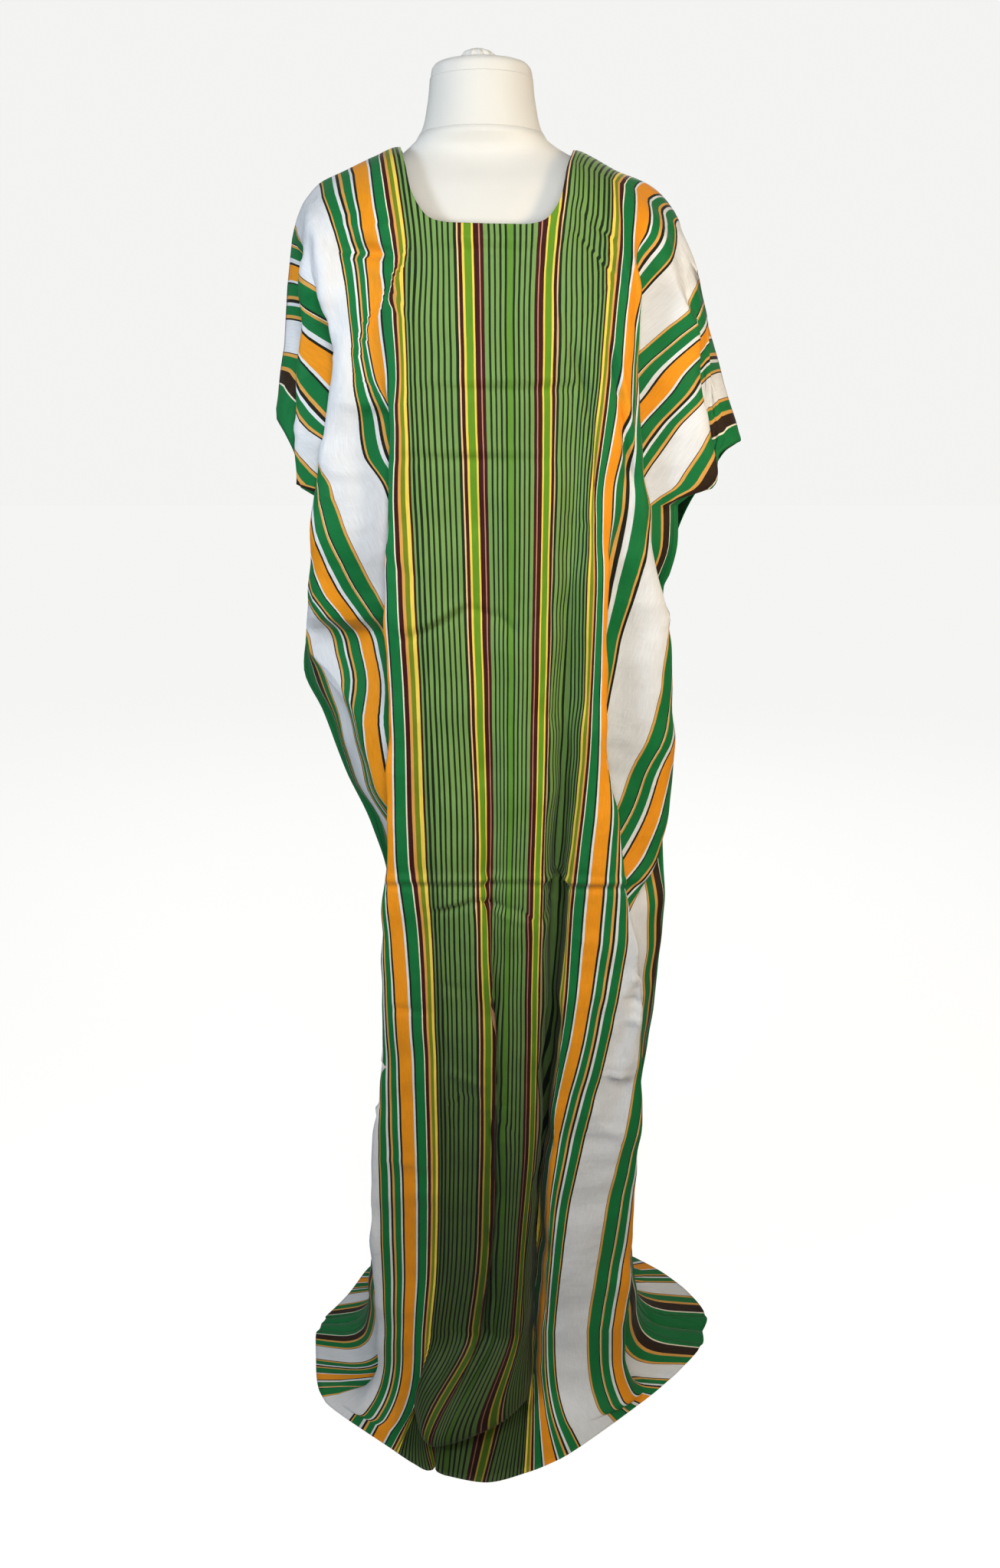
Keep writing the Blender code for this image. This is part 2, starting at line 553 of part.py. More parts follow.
front_folds = tracks()
back_folds = [list(rows) for rows in front_folds]
back_folds[0] = list(BACK_END_LEFT) + [r for r in LEFT["end"] if r[0] < UNDERARM[0]]
back_folds[-1] = list(BACK_END_RIGHT) + [r for r in RIGHT["end"] if r[0] < UNDERARM[1]]
first_seam_row = len(ROLL_STEPS) + len(SLEEVE_STEPS) + LEVELS.index(1104)

front_grid = sheet(front_folds, columns(), NECK_FRONT, -1)
back_grid = sheet(back_folds, columns(), NECK_BACK, 1)
for seam in (0, -1):
    back_grid[first_seam_row:, seam] = front_grid[first_seam_row:, seam]
front = wall("front", front_grid, first_seam_row, -1)
material(front, "striped_cotton_front", CLOTH_COLOUR, 0.85)
back = wall("back", back_grid, first_seam_row, 1)
material(back, "striped_cotton_back", BACK_COLOUR, 0.85)

torso = loft("form_torso", TORSO)
material(torso, "form_jersey_torso", FORM_COLOUR, 0.8)
neck = loft("form_neck", NECK)
material(neck, "form_jersey_neck", FORM_COLOUR, 0.8)
cap = loft("form_cap", CAP)
material(cap, "form_jersey_cap", FORM_COLOUR, 0.8)
knob = loft("form_knob", KNOB, 20)
material(knob, "form_jersey_knob", FORM_COLOUR, 0.8)
pole = round_bar("form_pole", POLE_RADIUS, BASE_HEIGHT + GAP, TORSO[0][0] - GAP, 24)
material(pole, "pole_steel", METAL_COLOUR, 0.4)
base = round_bar("form_base", BASE_RADIUS, 0.0, BASE_HEIGHT, 40)
edge = base.modifiers.new("rounded_edge", "BEVEL")
edge.width = BASE_EDGE * MM
edge.segments = 2
edge.limit_method = "ANGLE"
edge.angle_limit = math.radians(60)
material(base, "base_steel", METAL_COLOUR, 0.4)
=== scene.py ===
# %% [markdown]
# # A striped baati dress on a dress form
#
# A baati is a wide, loose house dress. One length of striped cotton is folded over the shoulders, a
# round hole is cut for the neck, and the two sides are sewn up from the underarm to the hem. This
# lesson lays that cloth on a limbless dress form, prints its stripes and lights it.
#
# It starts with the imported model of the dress, so that every piece lands in the right place.

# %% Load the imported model
import math

import bpy
import numpy as np
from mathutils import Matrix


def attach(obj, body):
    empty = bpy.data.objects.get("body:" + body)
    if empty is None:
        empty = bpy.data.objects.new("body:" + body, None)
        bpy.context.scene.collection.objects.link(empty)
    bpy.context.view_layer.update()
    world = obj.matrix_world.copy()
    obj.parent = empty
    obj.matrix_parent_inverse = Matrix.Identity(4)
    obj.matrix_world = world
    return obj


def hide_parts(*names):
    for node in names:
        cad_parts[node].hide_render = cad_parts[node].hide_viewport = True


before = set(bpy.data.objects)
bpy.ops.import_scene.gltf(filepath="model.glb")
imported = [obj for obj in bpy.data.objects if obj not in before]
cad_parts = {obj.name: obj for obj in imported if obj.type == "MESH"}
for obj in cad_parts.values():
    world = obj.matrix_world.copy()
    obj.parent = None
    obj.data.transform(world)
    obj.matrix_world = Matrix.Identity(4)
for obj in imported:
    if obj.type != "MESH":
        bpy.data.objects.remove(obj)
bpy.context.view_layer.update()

MM = 0.001

# %% [markdown]
# ## Camera, floor and light
#
# The dress is looked at from a little above the shoulders and close by, with a wide lens. That is why
# the skirt narrows downwards and the floor spread shows from above. A plain pale floor and round soft
# lamps come next: two in front, a cool one on the left, a warm one on the right and a big one behind.
# A pale world fills the shadows, and the camera alone sees it brighter, as a backdrop of white paper.

# %% Place the camera
CAMERA_AT = (0.014, -1.352, 1.307)
LOOK_DOWN = 18.5      # degrees below level
LENS = 26.38          # a wide lens, in millimetres for a sensor 36 mm long

scene = bpy.context.scene
camera_data = bpy.data.cameras.new("camera")
camera_data.sensor_width = 36.0
camera_data.sensor_fit = "AUTO"
camera_data.lens = LENS
camera_data.clip_end = 60.0
camera = bpy.data.objects.new("camera", camera_data)
camera.location = CAMERA_AT
camera.rotation_euler = (math.radians(90.0 - LOOK_DOWN), 0.0, 0.0)
scene.collection.objects.link(camera)
bpy.context.scene.camera = camera
print("camera at", CAMERA_AT, "looking down by", LOOK_DOWN, "degrees")

# %% Lay the floor
def plain_object(name, points, faces):
    """Mesh object from points in metres."""
    mesh = bpy.data.meshes.new(name)
    mesh.from_pydata(points, [], faces)
    mesh.update()
    thing = bpy.data.objects.new(name, mesh)
    scene.collection.objects.link(thing)
    return thing


def new_material(name, rough=0.8):
    """Material with its nodes and its main shader."""
    look = bpy.data.materials.new(name)
    look.use_nodes = True
    shader = look.node_tree.nodes["Principled BSDF"]
    shader.inputs["Roughness"].default_value = rough
    return look, look.node_tree, shader


def math_node(tree, kind, a, b):
    """Math node fed with sockets or numbers; gives its output."""
    node = tree.nodes.new("ShaderNodeMath")
    node.operation = kind
    for socket, value in zip(node.inputs, (a, b)):
        if isinstance(value, (int, float)):
            socket.default_value = value
        else:
            tree.links.new(value, socket)
    return node.outputs[0]


PALE = (1.0, 1.0, 0.99, 1.0)
FLOOR_GLOW = 0.78     # a floor of lit paper, so that it is as pale as the backdrop
FLOOR_CORNERS = [(-14, -14, 0), (14, -14, 0), (14, 14, 0), (-14, 14, 0)]
floor = plain_object("floor", FLOOR_CORNERS, [(0, 1, 2, 3)])
floor_look, floor_tree, floor_shader = new_material("pale_floor", 0.9)
floor_shader.inputs["Base Color"].default_value = (0.28, 0.28, 0.28, 1.0)
floor_shader.inputs["Emission Color"].default_value = PALE
floor_rays = floor_tree.nodes.new("ShaderNodeLightPath")
floor_glow = math_node(floor_tree, "MULTIPLY", floor_rays.outputs["Is Camera Ray"], FLOOR_GLOW)
floor_tree.links.new(floor_glow, floor_shader.inputs["Emission Strength"])
floor.data.materials.append(floor_look)
print("floor", 2 * FLOOR_CORNERS[2][0], "m wide")

# %% Hang the lamps
#          name      place                 size  power  colour
LAMPS = (
    ("lamp_front", (0.1, -1.15, 2.2), 0.4, 6.5, (1.0, 0.99, 0.96)),
    ("lamp_middle", (0.1, -1.6, 1.0), 0.6, 5.6, (1.0, 0.98, 0.93)),
    ("lamp_left", (-1.25, -1.05, 1.45), 0.4, 10.0, (0.76, 0.88, 1.0)),
    ("lamp_right", (1.25, -0.95, 1.4), 0.4, 10.0, (1.0, 0.79, 0.50)),
    ("lamp_back", (0.2, 2.4, 2.5), 1.2, 20.0, (1.0, 0.97, 0.93)),
)
LAMP_TARGET = (0.0, 0.0, 1.25)
FILL_LIGHT = 0.21     # what the world sends into the shadows
BACKDROP = 0.84       # how bright the camera sees the world
GAMMA = 0.88
EXPOSURE = 0.12


def aim(thing, target):
    """Turns a lamp to a point."""
    away = np.array(thing.location) - np.array(target)
    flat = math.hypot(away[0], away[1])
    thing.rotation_euler = (math.atan2(flat, away[2]), 0.0, math.atan2(away[0], -away[1]))


for name, place, size, power, colour in LAMPS:
    lamp_data = bpy.data.lights.new(name, "AREA")
    lamp_data.shape = "DISK"
    lamp_data.size = size
    lamp_data.energy = power
    lamp_data.color = colour
    lamp = bpy.data.objects.new(name, lamp_data)
    lamp.location = place
    scene.collection.objects.link(lamp)
    aim(lamp, LAMP_TARGET)

world = bpy.data.worlds.new("studio")
world.use_nodes = True
world_tree = world.node_tree
fill = world_tree.nodes["Background"]
fill.inputs["Strength"].default_value = FILL_LIGHT
backdrop = world_tree.nodes.new("ShaderNodeBackground")
backdrop.inputs["Strength"].default_value = BACKDROP
for surface in (fill, backdrop):
    surface.inputs["Color"].default_value = PALE
rays = world_tree.nodes.new("ShaderNodeLightPath")
choice = world_tree.nodes.new("ShaderNodeMixShader")
world_tree.links.new(rays.outputs["Is Camera Ray"], choice.inputs[0])
world_tree.links.new(fill.outputs[0], choice.inputs[1])
world_tree.links.new(backdrop.outputs[0], choice.inputs[2])
world_tree.links.new(choice.outputs[0], world_tree.nodes["World Output"].inputs["Surface"])
scene.world = world
scene.view_settings.view_transform = "Standard"
scene.view_settings.gamma = GAMMA
scene.view_settings.exposure = EXPOSURE
print(len(LAMPS), "lamps")

# %% [markdown]
# ## How the folded cloth is written down
#
# Cloth that hangs is simplest to describe by its folds. Each fold runs down the cloth, so a short table
# gives its height, its place across the cloth and where it hangs. A smooth curve joins the rows of one
# table, and at any height another smooth curve joins fold to fold. The depth only ever grows from the
# front panel to the side seam, so the layers lie behind each other and never cut through. A physics
# simulation would drape the cloth too, but not in the folds that this dress has.
#
# All tables are in millimetres. First come the shoulder fold and the neck hole.

# %% Shoulder fold and neck hole
# The shoulder fold, from the end of one sleeve to the end of the other. Each row has the place across
# the cloth u, counted from the middle of the pattern, then x, y, z, and how deep the cloth rolls over.
RIDGE = (
    (-420, -231, -25, 1288, 14), (-391, -227, -23, 1324, 14), (-344, -218, -20, 1372, 14),
    (-318, -215, -18, 1399, 15), (-283, -212, -14, 1438, 17), (-232, -203, -8, 1482, 26),
    (-200, -190, -4, 1508, 40), (-180, -177, -2, 1522, 50), (-152, -149, 0, 1534, 62),
    (-121, -117, 0, 1547, 72), (-95, -90, 0, 1556, 80), (50, 91, 0, 1553, 80), (101, 141, 0, 1533, 66),
    (129, 169, 0, 1523, 56), (144, 184, 0, 1513, 50), (161, 195, -2, 1501, 42), (180, 204, -4, 1487, 34),
    (205, 209, -8, 1466, 28), (232, 224, -12, 1432, 23), (269, 236, -16, 1392, 18),
    (286, 243, -18, 1374, 16), (329, 255, -22, 1334, 14), (359, 263, -23, 1311, 14),
    (391, 275, -24, 1281, 14), (408, 280, -25, 1265, 14),
)
# The neck hole: its ends at the shoulder fold, its depth in each half, and its curve from an end to
# the middle as shares of half the width and of the depth.
NECK_ENDS = (-95.0, 50.0)
NECK_FRONT = 83.5
NECK_BACK = 34.0
#            across  down
NECK_LINE = ((0.0, 0.0), (0.010, 0.30), (0.021, 0.52), (0.05, 0.67), (0.09, 0.77), (0.14, 0.85),
             (0.21, 0.92), (0.32, 0.965), (0.50, 0.99), (1.0, 1.0))
print(len(RIDGE), "places on the shoulder fold")

# %% [markdown]
# The folds of the front follow. The middle ones are shallow waves. Towards each side the cloth turns
# under an edge and comes out again as the side wing, then turns under once more at the sleeve.

# %% Folds of the left half
# Each fold is followed down the cloth: height z, place across the cloth u, and x, y.
MIDDLE = (
    (1560, 0, 24, -84), (1474, 0, 24, -97), (1400, 0, 24, -110), (1300, 0, 25, -118), (1100, 0, 26, -120),
    (900, 0, 26, -120), (700, 0, 23, -121), (600, 0, 21, -122), (430, 0, 19, -123), (300, 0, 17, -124),
    (200, 0, 13, -126), (120, 0, 6, -128),
)
LEFT = {
    "ply": (
        (1560, -30, -8, -84), (1300, -31, -4, -119), (900, -32, 2, -119), (700, -26, 5, -115),
        (560, -15, 6, -112), (430, -15, 5, -111), (300, -16, 3, -111), (120, -18, -8, -116),
    ),
    "pleat": (
        (1560, -55, -34, -83), (1300, -55, -29, -119), (900, -54, -18, -120), (700, -40, -3, -122),
        (560, -29, 9, -125), (430, -29, 8, -126), (300, -29, 6, -127), (120, -33, -12, -129),
    ),
    "neck": (
        (1556, -95, -88, -84), (1514, -95, -79, -91), (1440, -95, -71, -104), (1380, -95, -74, -112),
        (1280, -95, -72, -119), (1050, -95, -66, -121), (800, -95, -61, -121), (600, -95, -57, -122),
        (430, -95, -56, -124), (250, -95, -60, -126), (120, -95, -72, -128),
    ),
    "edge": (
        (1540, -118, -110, -81), (1440, -124, -100, -101), (1330, -129, -98, -112),
        (1278, -124, -98, -115), (1205, -126, -104, -116), (1113, -134, -110, -117),
        (951, -141, -112, -117), (801, -147, -116, -117), (725, -166, -125, -116),
        (600, -178, -129, -116), (430, -195, -143, -118), (300, -207, -153, -119),
        (120, -206, -149, -120),
    ),
    "tuck": (
        (1540, -136, -127, -76), (1440, -144, -119, -95), (1330, -142, -109, -104),
        (1278, -138, -89, -107), (1205, -153, -80, -107), (1113, -172, -77, -106),
        (1045, -185, -68, -105), (951, -197, -60, -104), (877, -222, -45, -103), (801, -252, -28, -102),
        (725, -262, -40, -101), (600, -268, -50, -100), (430, -275, -68, -100), (300, -280, -80, -101),
        (120, -275, -100, -98),
    ),
    "wing": (
        (1540, -148, -140, -70), (1500, -182, -168, -72), (1467, -203, -172, -80),
        (1430, -216, -170, -86), (1401, -229, -167, -88), (1369, -226, -160, -88),
        (1345, -222, -156, -88), (1309, -225, -165, -87), (1252, -232, -177, -85),
        (1220, -262, -184, -83), (1205, -270, -187, -82), (1157, -292, -193, -76),
        (1110, -318, -200, -60), (1040, -366, -206, -44), (1003, -340, -177, -60), (951, -300, -148, -78),
        (877, -291, -132, -88), (801, -300, -80, -90),
    ),
    "under": (
        (1540, -158, -150, -64), (1500, -196, -180, -64), (1467, -213, -181, -73),
        (1430, -224, -176, -78), (1401, -238, -162, -79), (1369, -250, -141, -79),
        (1345, -258, -126, -79), (1309, -268, -125, -78), (1252, -296, -120, -76),
        (1220, -326, -126, -75), (1205, -345, -122, -74), (1157, -352, -141, -62),
        (1110, -356, -172, -46), (1040, -384, -209, -33), (1003, -365, -191, -46), (951, -335, -163, -56),
        (877, -329, -147, -58), (801, -340, -108, -74),
    ),
    "flap": (
        (1540, -166, -158, -58), (1500, -208, -190, -54), (1467, -220, -185, -62),
        (1430, -234, -190, -65), (1401, -256, -194, -65), (1369, -282, -197, -65),
        (1345, -300, -199, -65), (1309, -322, -202, -64), (1279, -342, -205, -63),
        (1252, -366, -207, -65), (1220, -384, -207, -66), (1206, -392, -166, -66),
        (1157, -386, -158, -54), (1110, -385, -165, -33), (1040, -399, -211, -23),
        (1003, -386, -203, -31), (951, -372, -180, -32), (877, -359, -158, -31), (801, -366, -122, -48),
    ),
    "nook": (
        (1540, -174, -166, -50), (1500, -218, -196, -46), (1467, -230, -191, -50),
        (1430, -259, -170, -53), (1401, -284, -169, -53), (1369, -312, -169, -53),
        (1345, -334, -168, -53), (1309, -358, -168, -52), (1279, -384, -172, -52),
        (1252, -396, -186, -56), (1220, -404, -196, -58), (1206, -408, -176, -58),
        (1157, -403, -165, -46), (1110, -403, -170, -20), (1040, -410, -213, -13),
        (1003, -404, -213, -17), (951, -398, -191, -14), (877, -391, -168, -13), (801, -394, -132, -22),
    ),
    "end": (
        (1500, -420, -262, -40), (1400, -420, -262, -40), (1288, -420, -231, -34),
        (1273, -420, -221, -41), (1243, -420, -208, -48), (1216, -420, -205, -50),
        (1207, -420, -190, -50), (1170, -420, -170, -39), (1110, -420, -178, -8), (1040, -420, -215, -2),
        (1003, -420, -220, -4), (951, -420, -201, 2), (877, -420, -177, 4), (801, -420, -146, 4),
        (725, -420, -126, 5), (600, -420, -118, 5), (430, -420, -125, 5), (300, -420, -145, 5),
        (200, -420, -163, 3), (120, -420, -172, 2),
    ),
}

print(sum(len(rows) for rows in LEFT.values()), "rows for the left half")

# %% Folds of the right half
RIGHT = {
    "crown": (
        (1553, 50, 89, -84), (1514, 50, 80, -90), (1440, 51, 74, -103), (1335, 52, 72, -114),
        (1205, 52, 71, -119), (951, 52, 68, -120), (725, 52, 64, -121), (434, 52, 60, -123),
        (246, 52, 48, -126), (120, 52, 42, -128),
    ),
    "dip": (
        (1540, 66, 94, -83), (1440, 76, 98, -101), (1335, 80, 98, -110), (1278, 80, 95, -111),
        (1113, 80, 91, -108), (951, 80, 88, -103), (725, 80, 79, -84), (600, 80, 75, -78),
        (434, 90, 69, -74), (300, 102, 66, -74), (120, 106, 60, -83),
    ),
    "lip": (
        (1540, 80, 107, -81), (1440, 102, 123, -99), (1335, 108, 121, -112), (1205, 110, 112, -118),
        (1113, 110, 114, -119), (951, 110, 111, -119), (725, 110, 95, -118), (600, 112, 91, -117),
        (434, 132, 82, -117), (300, 150, 79, -118), (120, 158, 74, -121),
    ),
    "edge": (
        (1540, 94, 121, -78), (1470, 112, 135, -93), (1440, 118, 138, -101), (1401, 128, 143, -105),
        (1335, 135, 143, -107), (1278, 138, 139, -109), (1205, 144, 133, -112), (1113, 144, 131, -114),
        (951, 144, 134, -115), (905, 150, 140, -115), (858, 160, 149, -115), (801, 172, 156, -114),
        (725, 190, 169, -112), (660, 212, 182, -110), (597, 232, 187, -108), (434, 264, 190, -104),
        (300, 286, 188, -106), (184, 298, 185, -109), (120, 304, 183, -111),
    ),
    "tuck": (
        (1540, 104, 130, -74), (1470, 121, 142, -90), (1440, 125, 145, -97), (1401, 140, 152, -99),
        (1335, 152, 152, -99), (1278, 158, 151, -99), (1205, 160, 148, -102), (1113, 153, 124, -103),
        (951, 162, 118, -103), (905, 172, 118, -102), (858, 190, 121, -102), (801, 217, 113, -101),
        (725, 254, 106, -101), (660, 280, 118, -98), (597, 300, 126, -95), (434, 325, 140, -88),
        (300, 335, 142, -85), (120, 340, 150, -84),
    ),
    "wing": (
        (1540, 114, 138, -70), (1500, 122, 147, -79), (1470, 128, 149, -86), (1446, 131, 150, -90),
        (1401, 151, 159, -92), (1365, 161, 156, -94), (1335, 168, 155, -93), (1278, 179, 158, -91),
        (1225, 180, 167, -89), (1202, 181, 172, -89), (1160, 188, 177, -88), (1104, 217, 195, -80),
        (1045, 250, 209, -68), (951, 272, 216, -61), (877, 306, 218, -51), (795, 314, 205, -69),
        (716, 329, 168, -93), (630, 332, 166, -92),
    ),
    "under": (
        (1540, 124, 146, -66), (1500, 132, 155, -73), (1470, 139, 157, -78), (1446, 148, 151, -81),
        (1401, 168, 143, -84), (1365, 188, 131, -86), (1335, 209, 121, -85), (1278, 236, 112, -83),
        (1225, 262, 109, -81), (1202, 270, 108, -81), (1160, 278, 109, -80), (1104, 305, 125, -70),
        (1045, 315, 160, -56), (951, 325, 177, -45), (877, 340, 191, -39), (795, 342, 183, -57),
        (716, 350, 186, -85), (630, 352, 184, -84),
    ),
    "flap": (
        (1540, 134, 154, -60), (1500, 146, 166, -64), (1470, 160, 178, -68), (1446, 175, 186, -70),
        (1401, 225, 207, -68), (1365, 276, 222, -65), (1335, 306, 226, -64), (1311, 325, 231, -65),
        (1278, 358, 236, -66), (1255, 375, 242, -67), (1225, 392, 249, -67), (1210, 395, 238, -68),
        (1202, 375, 189, -73), (1160, 372, 188, -72), (1104, 365, 170, -60), (1045, 350, 160, -45),
        (951, 355, 177, -32), (877, 362, 191, -28), (795, 365, 188, -46), (716, 372, 203, -75),
        (630, 373, 200, -72),
    ),
    "nook": (
        (1540, 144, 162, -52), (1500, 156, 176, -52), (1470, 172, 190, -54), (1446, 190, 200, -56),
        (1401, 237, 213, -55), (1365, 277, 223, -53), (1335, 308, 222, -52), (1311, 334, 224, -53),
        (1278, 371, 226, -54), (1255, 389, 230, -57), (1225, 400, 237, -59), (1210, 402, 226, -60),
        (1202, 392, 200, -65), (1160, 391, 200, -64), (1104, 388, 186, -50), (1045, 380, 178, -36),
        (951, 382, 190, -22), (877, 386, 202, -20), (795, 388, 204, -38), (716, 390, 215, -63),
        (630, 391, 212, -60),
    ),
    "end": (
        (1500, 408, 300, -38), (1400, 408, 300, -38), (1265, 408, 280, -34), (1257, 408, 262, -42),
        (1249, 408, 253, -47), (1225, 408, 250, -51), (1211, 408, 238, -52), (1202, 408, 209, -57),
        (1160, 408, 211, -56), (1122, 408, 206, -46), (1104, 408, 200, -40), (1045, 408, 200, -27),
        (951, 408, 206, -12), (877, 408, 212, -10), (795, 408, 214, -28), (716, 408, 216, -47),
        (630, 408, 213, -46), (500, 408, 205, -32), (300, 408, 192, -10), (120, 408, 205, 0),
    ),
}
# Names of the folds from the sleeve end to the front panel.
FOLDS = ("end", "nook", "flap", "under", "wing", "tuck", "edge")
LEFT_ORDER = FOLDS + ("neck", "pleat", "ply")
RIGHT_ORDER = ("crown", "dip", "lip") + FOLDS[::-1]
print(len(LEFT_ORDER) + 1 + len(RIGHT_ORDER), "folds")

# %% [markdown]
# The back hangs from the same shoulder fold. Only its sleeve ends are written down again, because they
# open away from the front ones. The hem table says where each fold arrives on the floor.

# %% Sleeve ends of the back, and the hem
# The sleeve ends of the back, from the shoulder fold down to the underarm.
BACK_END_LEFT = (
    (1500, -420, -262, 10), (1400, -420, -262, 10), (1288, -420, -231, -15), (1273, -420, -224, -3),
    (1243, -420, -214, 12), (1207, -420, -203, 22), (1170, -420, -188, 18), (1110, -420, -178, -8),
)
BACK_END_RIGHT = (
    (1500, 408, 300, 10), (1400, 408, 300, 10), (1265, 408, 280, -16), (1252, 408, 268, -2),
    (1225, 408, 254, 10), (1202, 408, 238, 14), (1160, 408, 218, 2), (1122, 408, 206, -26),
    (1104, 408, 200, -40),
)
UNDERARM = (1110.0, 1104.0)   # height of the left and the right underarm

MIDDLE_FOLD = 10.0    # number of the fold in the middle of the front
BACK_DEPTH = 105.0    # how far the back hangs behind the middle of the form
BACK_HEM = 257.0      # how far behind the middle of the form the back hem lies
BACK_SLIDE = 160.0    # pulls the corners of the back hem to the right on the floor
# Where each fold comes to on the floor, from the left to the right: u, x, y.
HEM = (
    (-420, -252, 16), (-392, -257, -2), (-360, -254, -26), (-328, -250, -50), (-294, -246, -74),
    (-258, -240, -98), (-222, -226, -124), (-110, -124, -202), (-58, -96, -224), (-30, -78, -233),
    (0, -56, -238), (52, -4, -248), (106, 48, -234), (150, 92, -214), (300, 229, -108), (320, 246, -92),
    (340, 262, -77), (358, 276, -62), (375, 290, -47), (392, 304, -28), (408, 313, 2),
)
# How the cloth turns out on to the floor: height, and how far it has come from the hanging
# section (0) to the hem (1).
HEM_HEIGHT = 1.2
FOOT = ((120, 0.0), (70, 0.05), (40, 0.14), (20, 0.30), (10, 0.50), (5, 0.75), (HEM_HEIGHT, 1.0))
# The side cloth that hides below the drawn folds: where it starts on the left and on the right, the
# heights of its rows, and how far each fold lies from the tuck (0) to the seam (1).
ROUND_FROM = (801, 630)
ROUND_LEVELS = (725, 600, 430, 300, 200, 120)
ROUND_STEPS = {"wing": 0.2, "under": 0.42, "flap": 0.63, "nook": 0.82}
print(len(HEM), "places on the hem")

# %% [markdown]
# Three helpers turn the tables into a surface: a curve that never overshoots its rows, a section
# through all folds at one height, and the roll of the cloth over the shoulder. Where the cloth turns
# back sideways, the section leaves a fold at a right angle to the panel, so that its tip is round.

# %% Curves through the tables
def limited_slopes(steps, gaps):
    """Slopes at the knots of a curve that never overshoots them."""
    same = steps[:-1] * steps[1:] > 0
    weight_a = 2 * gaps[1:] + gaps[:-1]
    weight_b = gaps[1:] + 2 * gaps[:-1]
    safe_a = np.where(same, steps[:-1], 1.0)
    safe_b = np.where(same, steps[1:], 1.0)
    mean = (weight_a + weight_b) / (weight_a / safe_a + weight_b / safe_b)
    return np.concatenate([steps[:1], np.where(same, mean, 0.0), steps[-1:]])


def hermite(a, b, slope_a, slope_b, t):
    """Cubic from a to b with the two slopes given per unit of t."""
    return (a * (1 + 2 * t) * (1 - t) ** 2 + b * t * t * (3 - 2 * t)
            + slope_a * t * (1 - t) ** 2 - slope_b * t * t * (1 - t))


def column(table, k, at):
    """Smooth curve through column k of a table, at places in its first column; level past its ends."""
    rows = np.array(table, float)
    if rows[0, 0] > rows[-1, 0]:
        rows = rows[::-1]
    knots, values = rows[:, 0], rows[:, k]
    gaps = np.diff(knots)
    slopes = limited_slopes(np.diff(values) / gaps, gaps)
    at = np.clip(at, knots[0], knots[-1])
    i = np.clip(np.searchsorted(knots, at, side="right") - 1, 0, len(gaps) - 1)
    t = (at - knots[i]) / gaps[i]
    return hermite(values[i], values[i + 1], slopes[i] * gaps[i], slopes[i + 1] * gaps[i], t)


print("shoulder fold in the middle", round(float(column(RIDGE, 3, 0.0)), 1), "mm up")

# %% Side cloth and all folds
def rounded(table, top):
    """Adds the rows below the drawn folds, on a quarter ellipse from the tuck to the seam."""
    out = {name: list(rows) for name, rows in table.items()}
    for level in ROUND_LEVELS:
        if level >= top:
            continue
        a, b = [[float(column(table[name], k, level)) for k in (1, 2, 3)] for name in ("tuck", "end")]
        for name, part in ROUND_STEPS.items():
            across = math.sin(part * math.pi / 2)
            deep = 1 - math.cos(part * math.pi / 2)
            out[name].append((level, a[0] + (b[0] - a[0]) * part,
                              a[1] + (b[1] - a[1]) * across, a[2] + (b[2] - a[2]) * deep))
    return out


def tracks():
    """All the folds of the front from left to right, each as rows of z, u, x, y."""
    left, right = rounded(LEFT, ROUND_FROM[0]), rounded(RIGHT, ROUND_FROM[1])
    rows = [left[name] for name in LEFT_ORDER] + [list(MIDDLE)]
    return rows + [right[name] for name in RIGHT_ORDER]


front_folds = tracks()
print(sum(len(rows) for rows in front_folds), "rows in all")

# %% Section through the folds
def turning(step_x, step_y):
    """How far the cloth turns back sideways at each fold: 0 runs on, 1 is a full fold."""
    length = np.maximum(np.hypot(step_x, step_y), 1e-6)
    back = -2.0 * step_x[1:] * step_x[:-1] / (length[1:] * length[:-1])
    ends = np.ones_like(step_x[:1])
    return np.concatenate([ends, np.clip(back, 0.0, 1.0), ends])


def section(folds, w, z):
    """u, x, y of the hanging cloth at fold number w (may lie between two folds) and height z."""
    w = np.asarray(w, float)
    z = np.asarray(z, float)
    high = np.maximum(z, FOOT[0][0])
    spread = column(FOOT, 1, z)
    knots = []
    for k in (1, 2, 3):
        line = np.array([column(rows, k, high) for rows in folds])
        target = np.array([r[k - 1] for r in HEM], float).reshape((-1,) + (1,) * z.ndim)
        knots.append(line + (target - line) * spread)
    steps = [np.diff(line, axis=0) for line in knots]
    slopes = [limited_slopes(step, np.ones_like(step)) for step in steps]
    before, after = list(slopes), list(slopes)
    turn = turning(steps[1], steps[2])
    for side, step in ((before, np.concatenate([steps[2][:1], steps[2]])),
                       (after, np.concatenate([steps[2], steps[2][-1:]]))):
        side[1] = side[1] * (1 - turn)
        side[2] = side[2] + (3.0 * step - side[2]) * turn
    i = np.clip(np.floor(w).astype(int), 0, len(folds) - 2)
    at = tuple(np.indices(z.shape))
    return [hermite(knots[k][(i,) + at], knots[k][(i + 1,) + at], after[k][(i,) + at],
                    before[k][(i + 1,) + at], w - i) for k in range(3)]


numbers = np.arange(len(front_folds))
waist_x = section(front_folds, numbers, np.full(numbers.shape, 1100.0))[1]
print("the cloth is", round(float(np.ptp(waist_x))), "mm wide 1.1 m up")

# %% Shoulder roll and back
def top_of(u, depth):
    """Height at which the cloth starts: the shoulder fold, or the edge of the neck hole."""
    half = 0.5 * (NECK_ENDS[1] - NECK_ENDS[0])
    inside = np.minimum(u - NECK_ENDS[0], NECK_ENDS[1] - u) / half
    return column(RIDGE, 3, u) - depth * column(NECK_LINE, 1, inside)


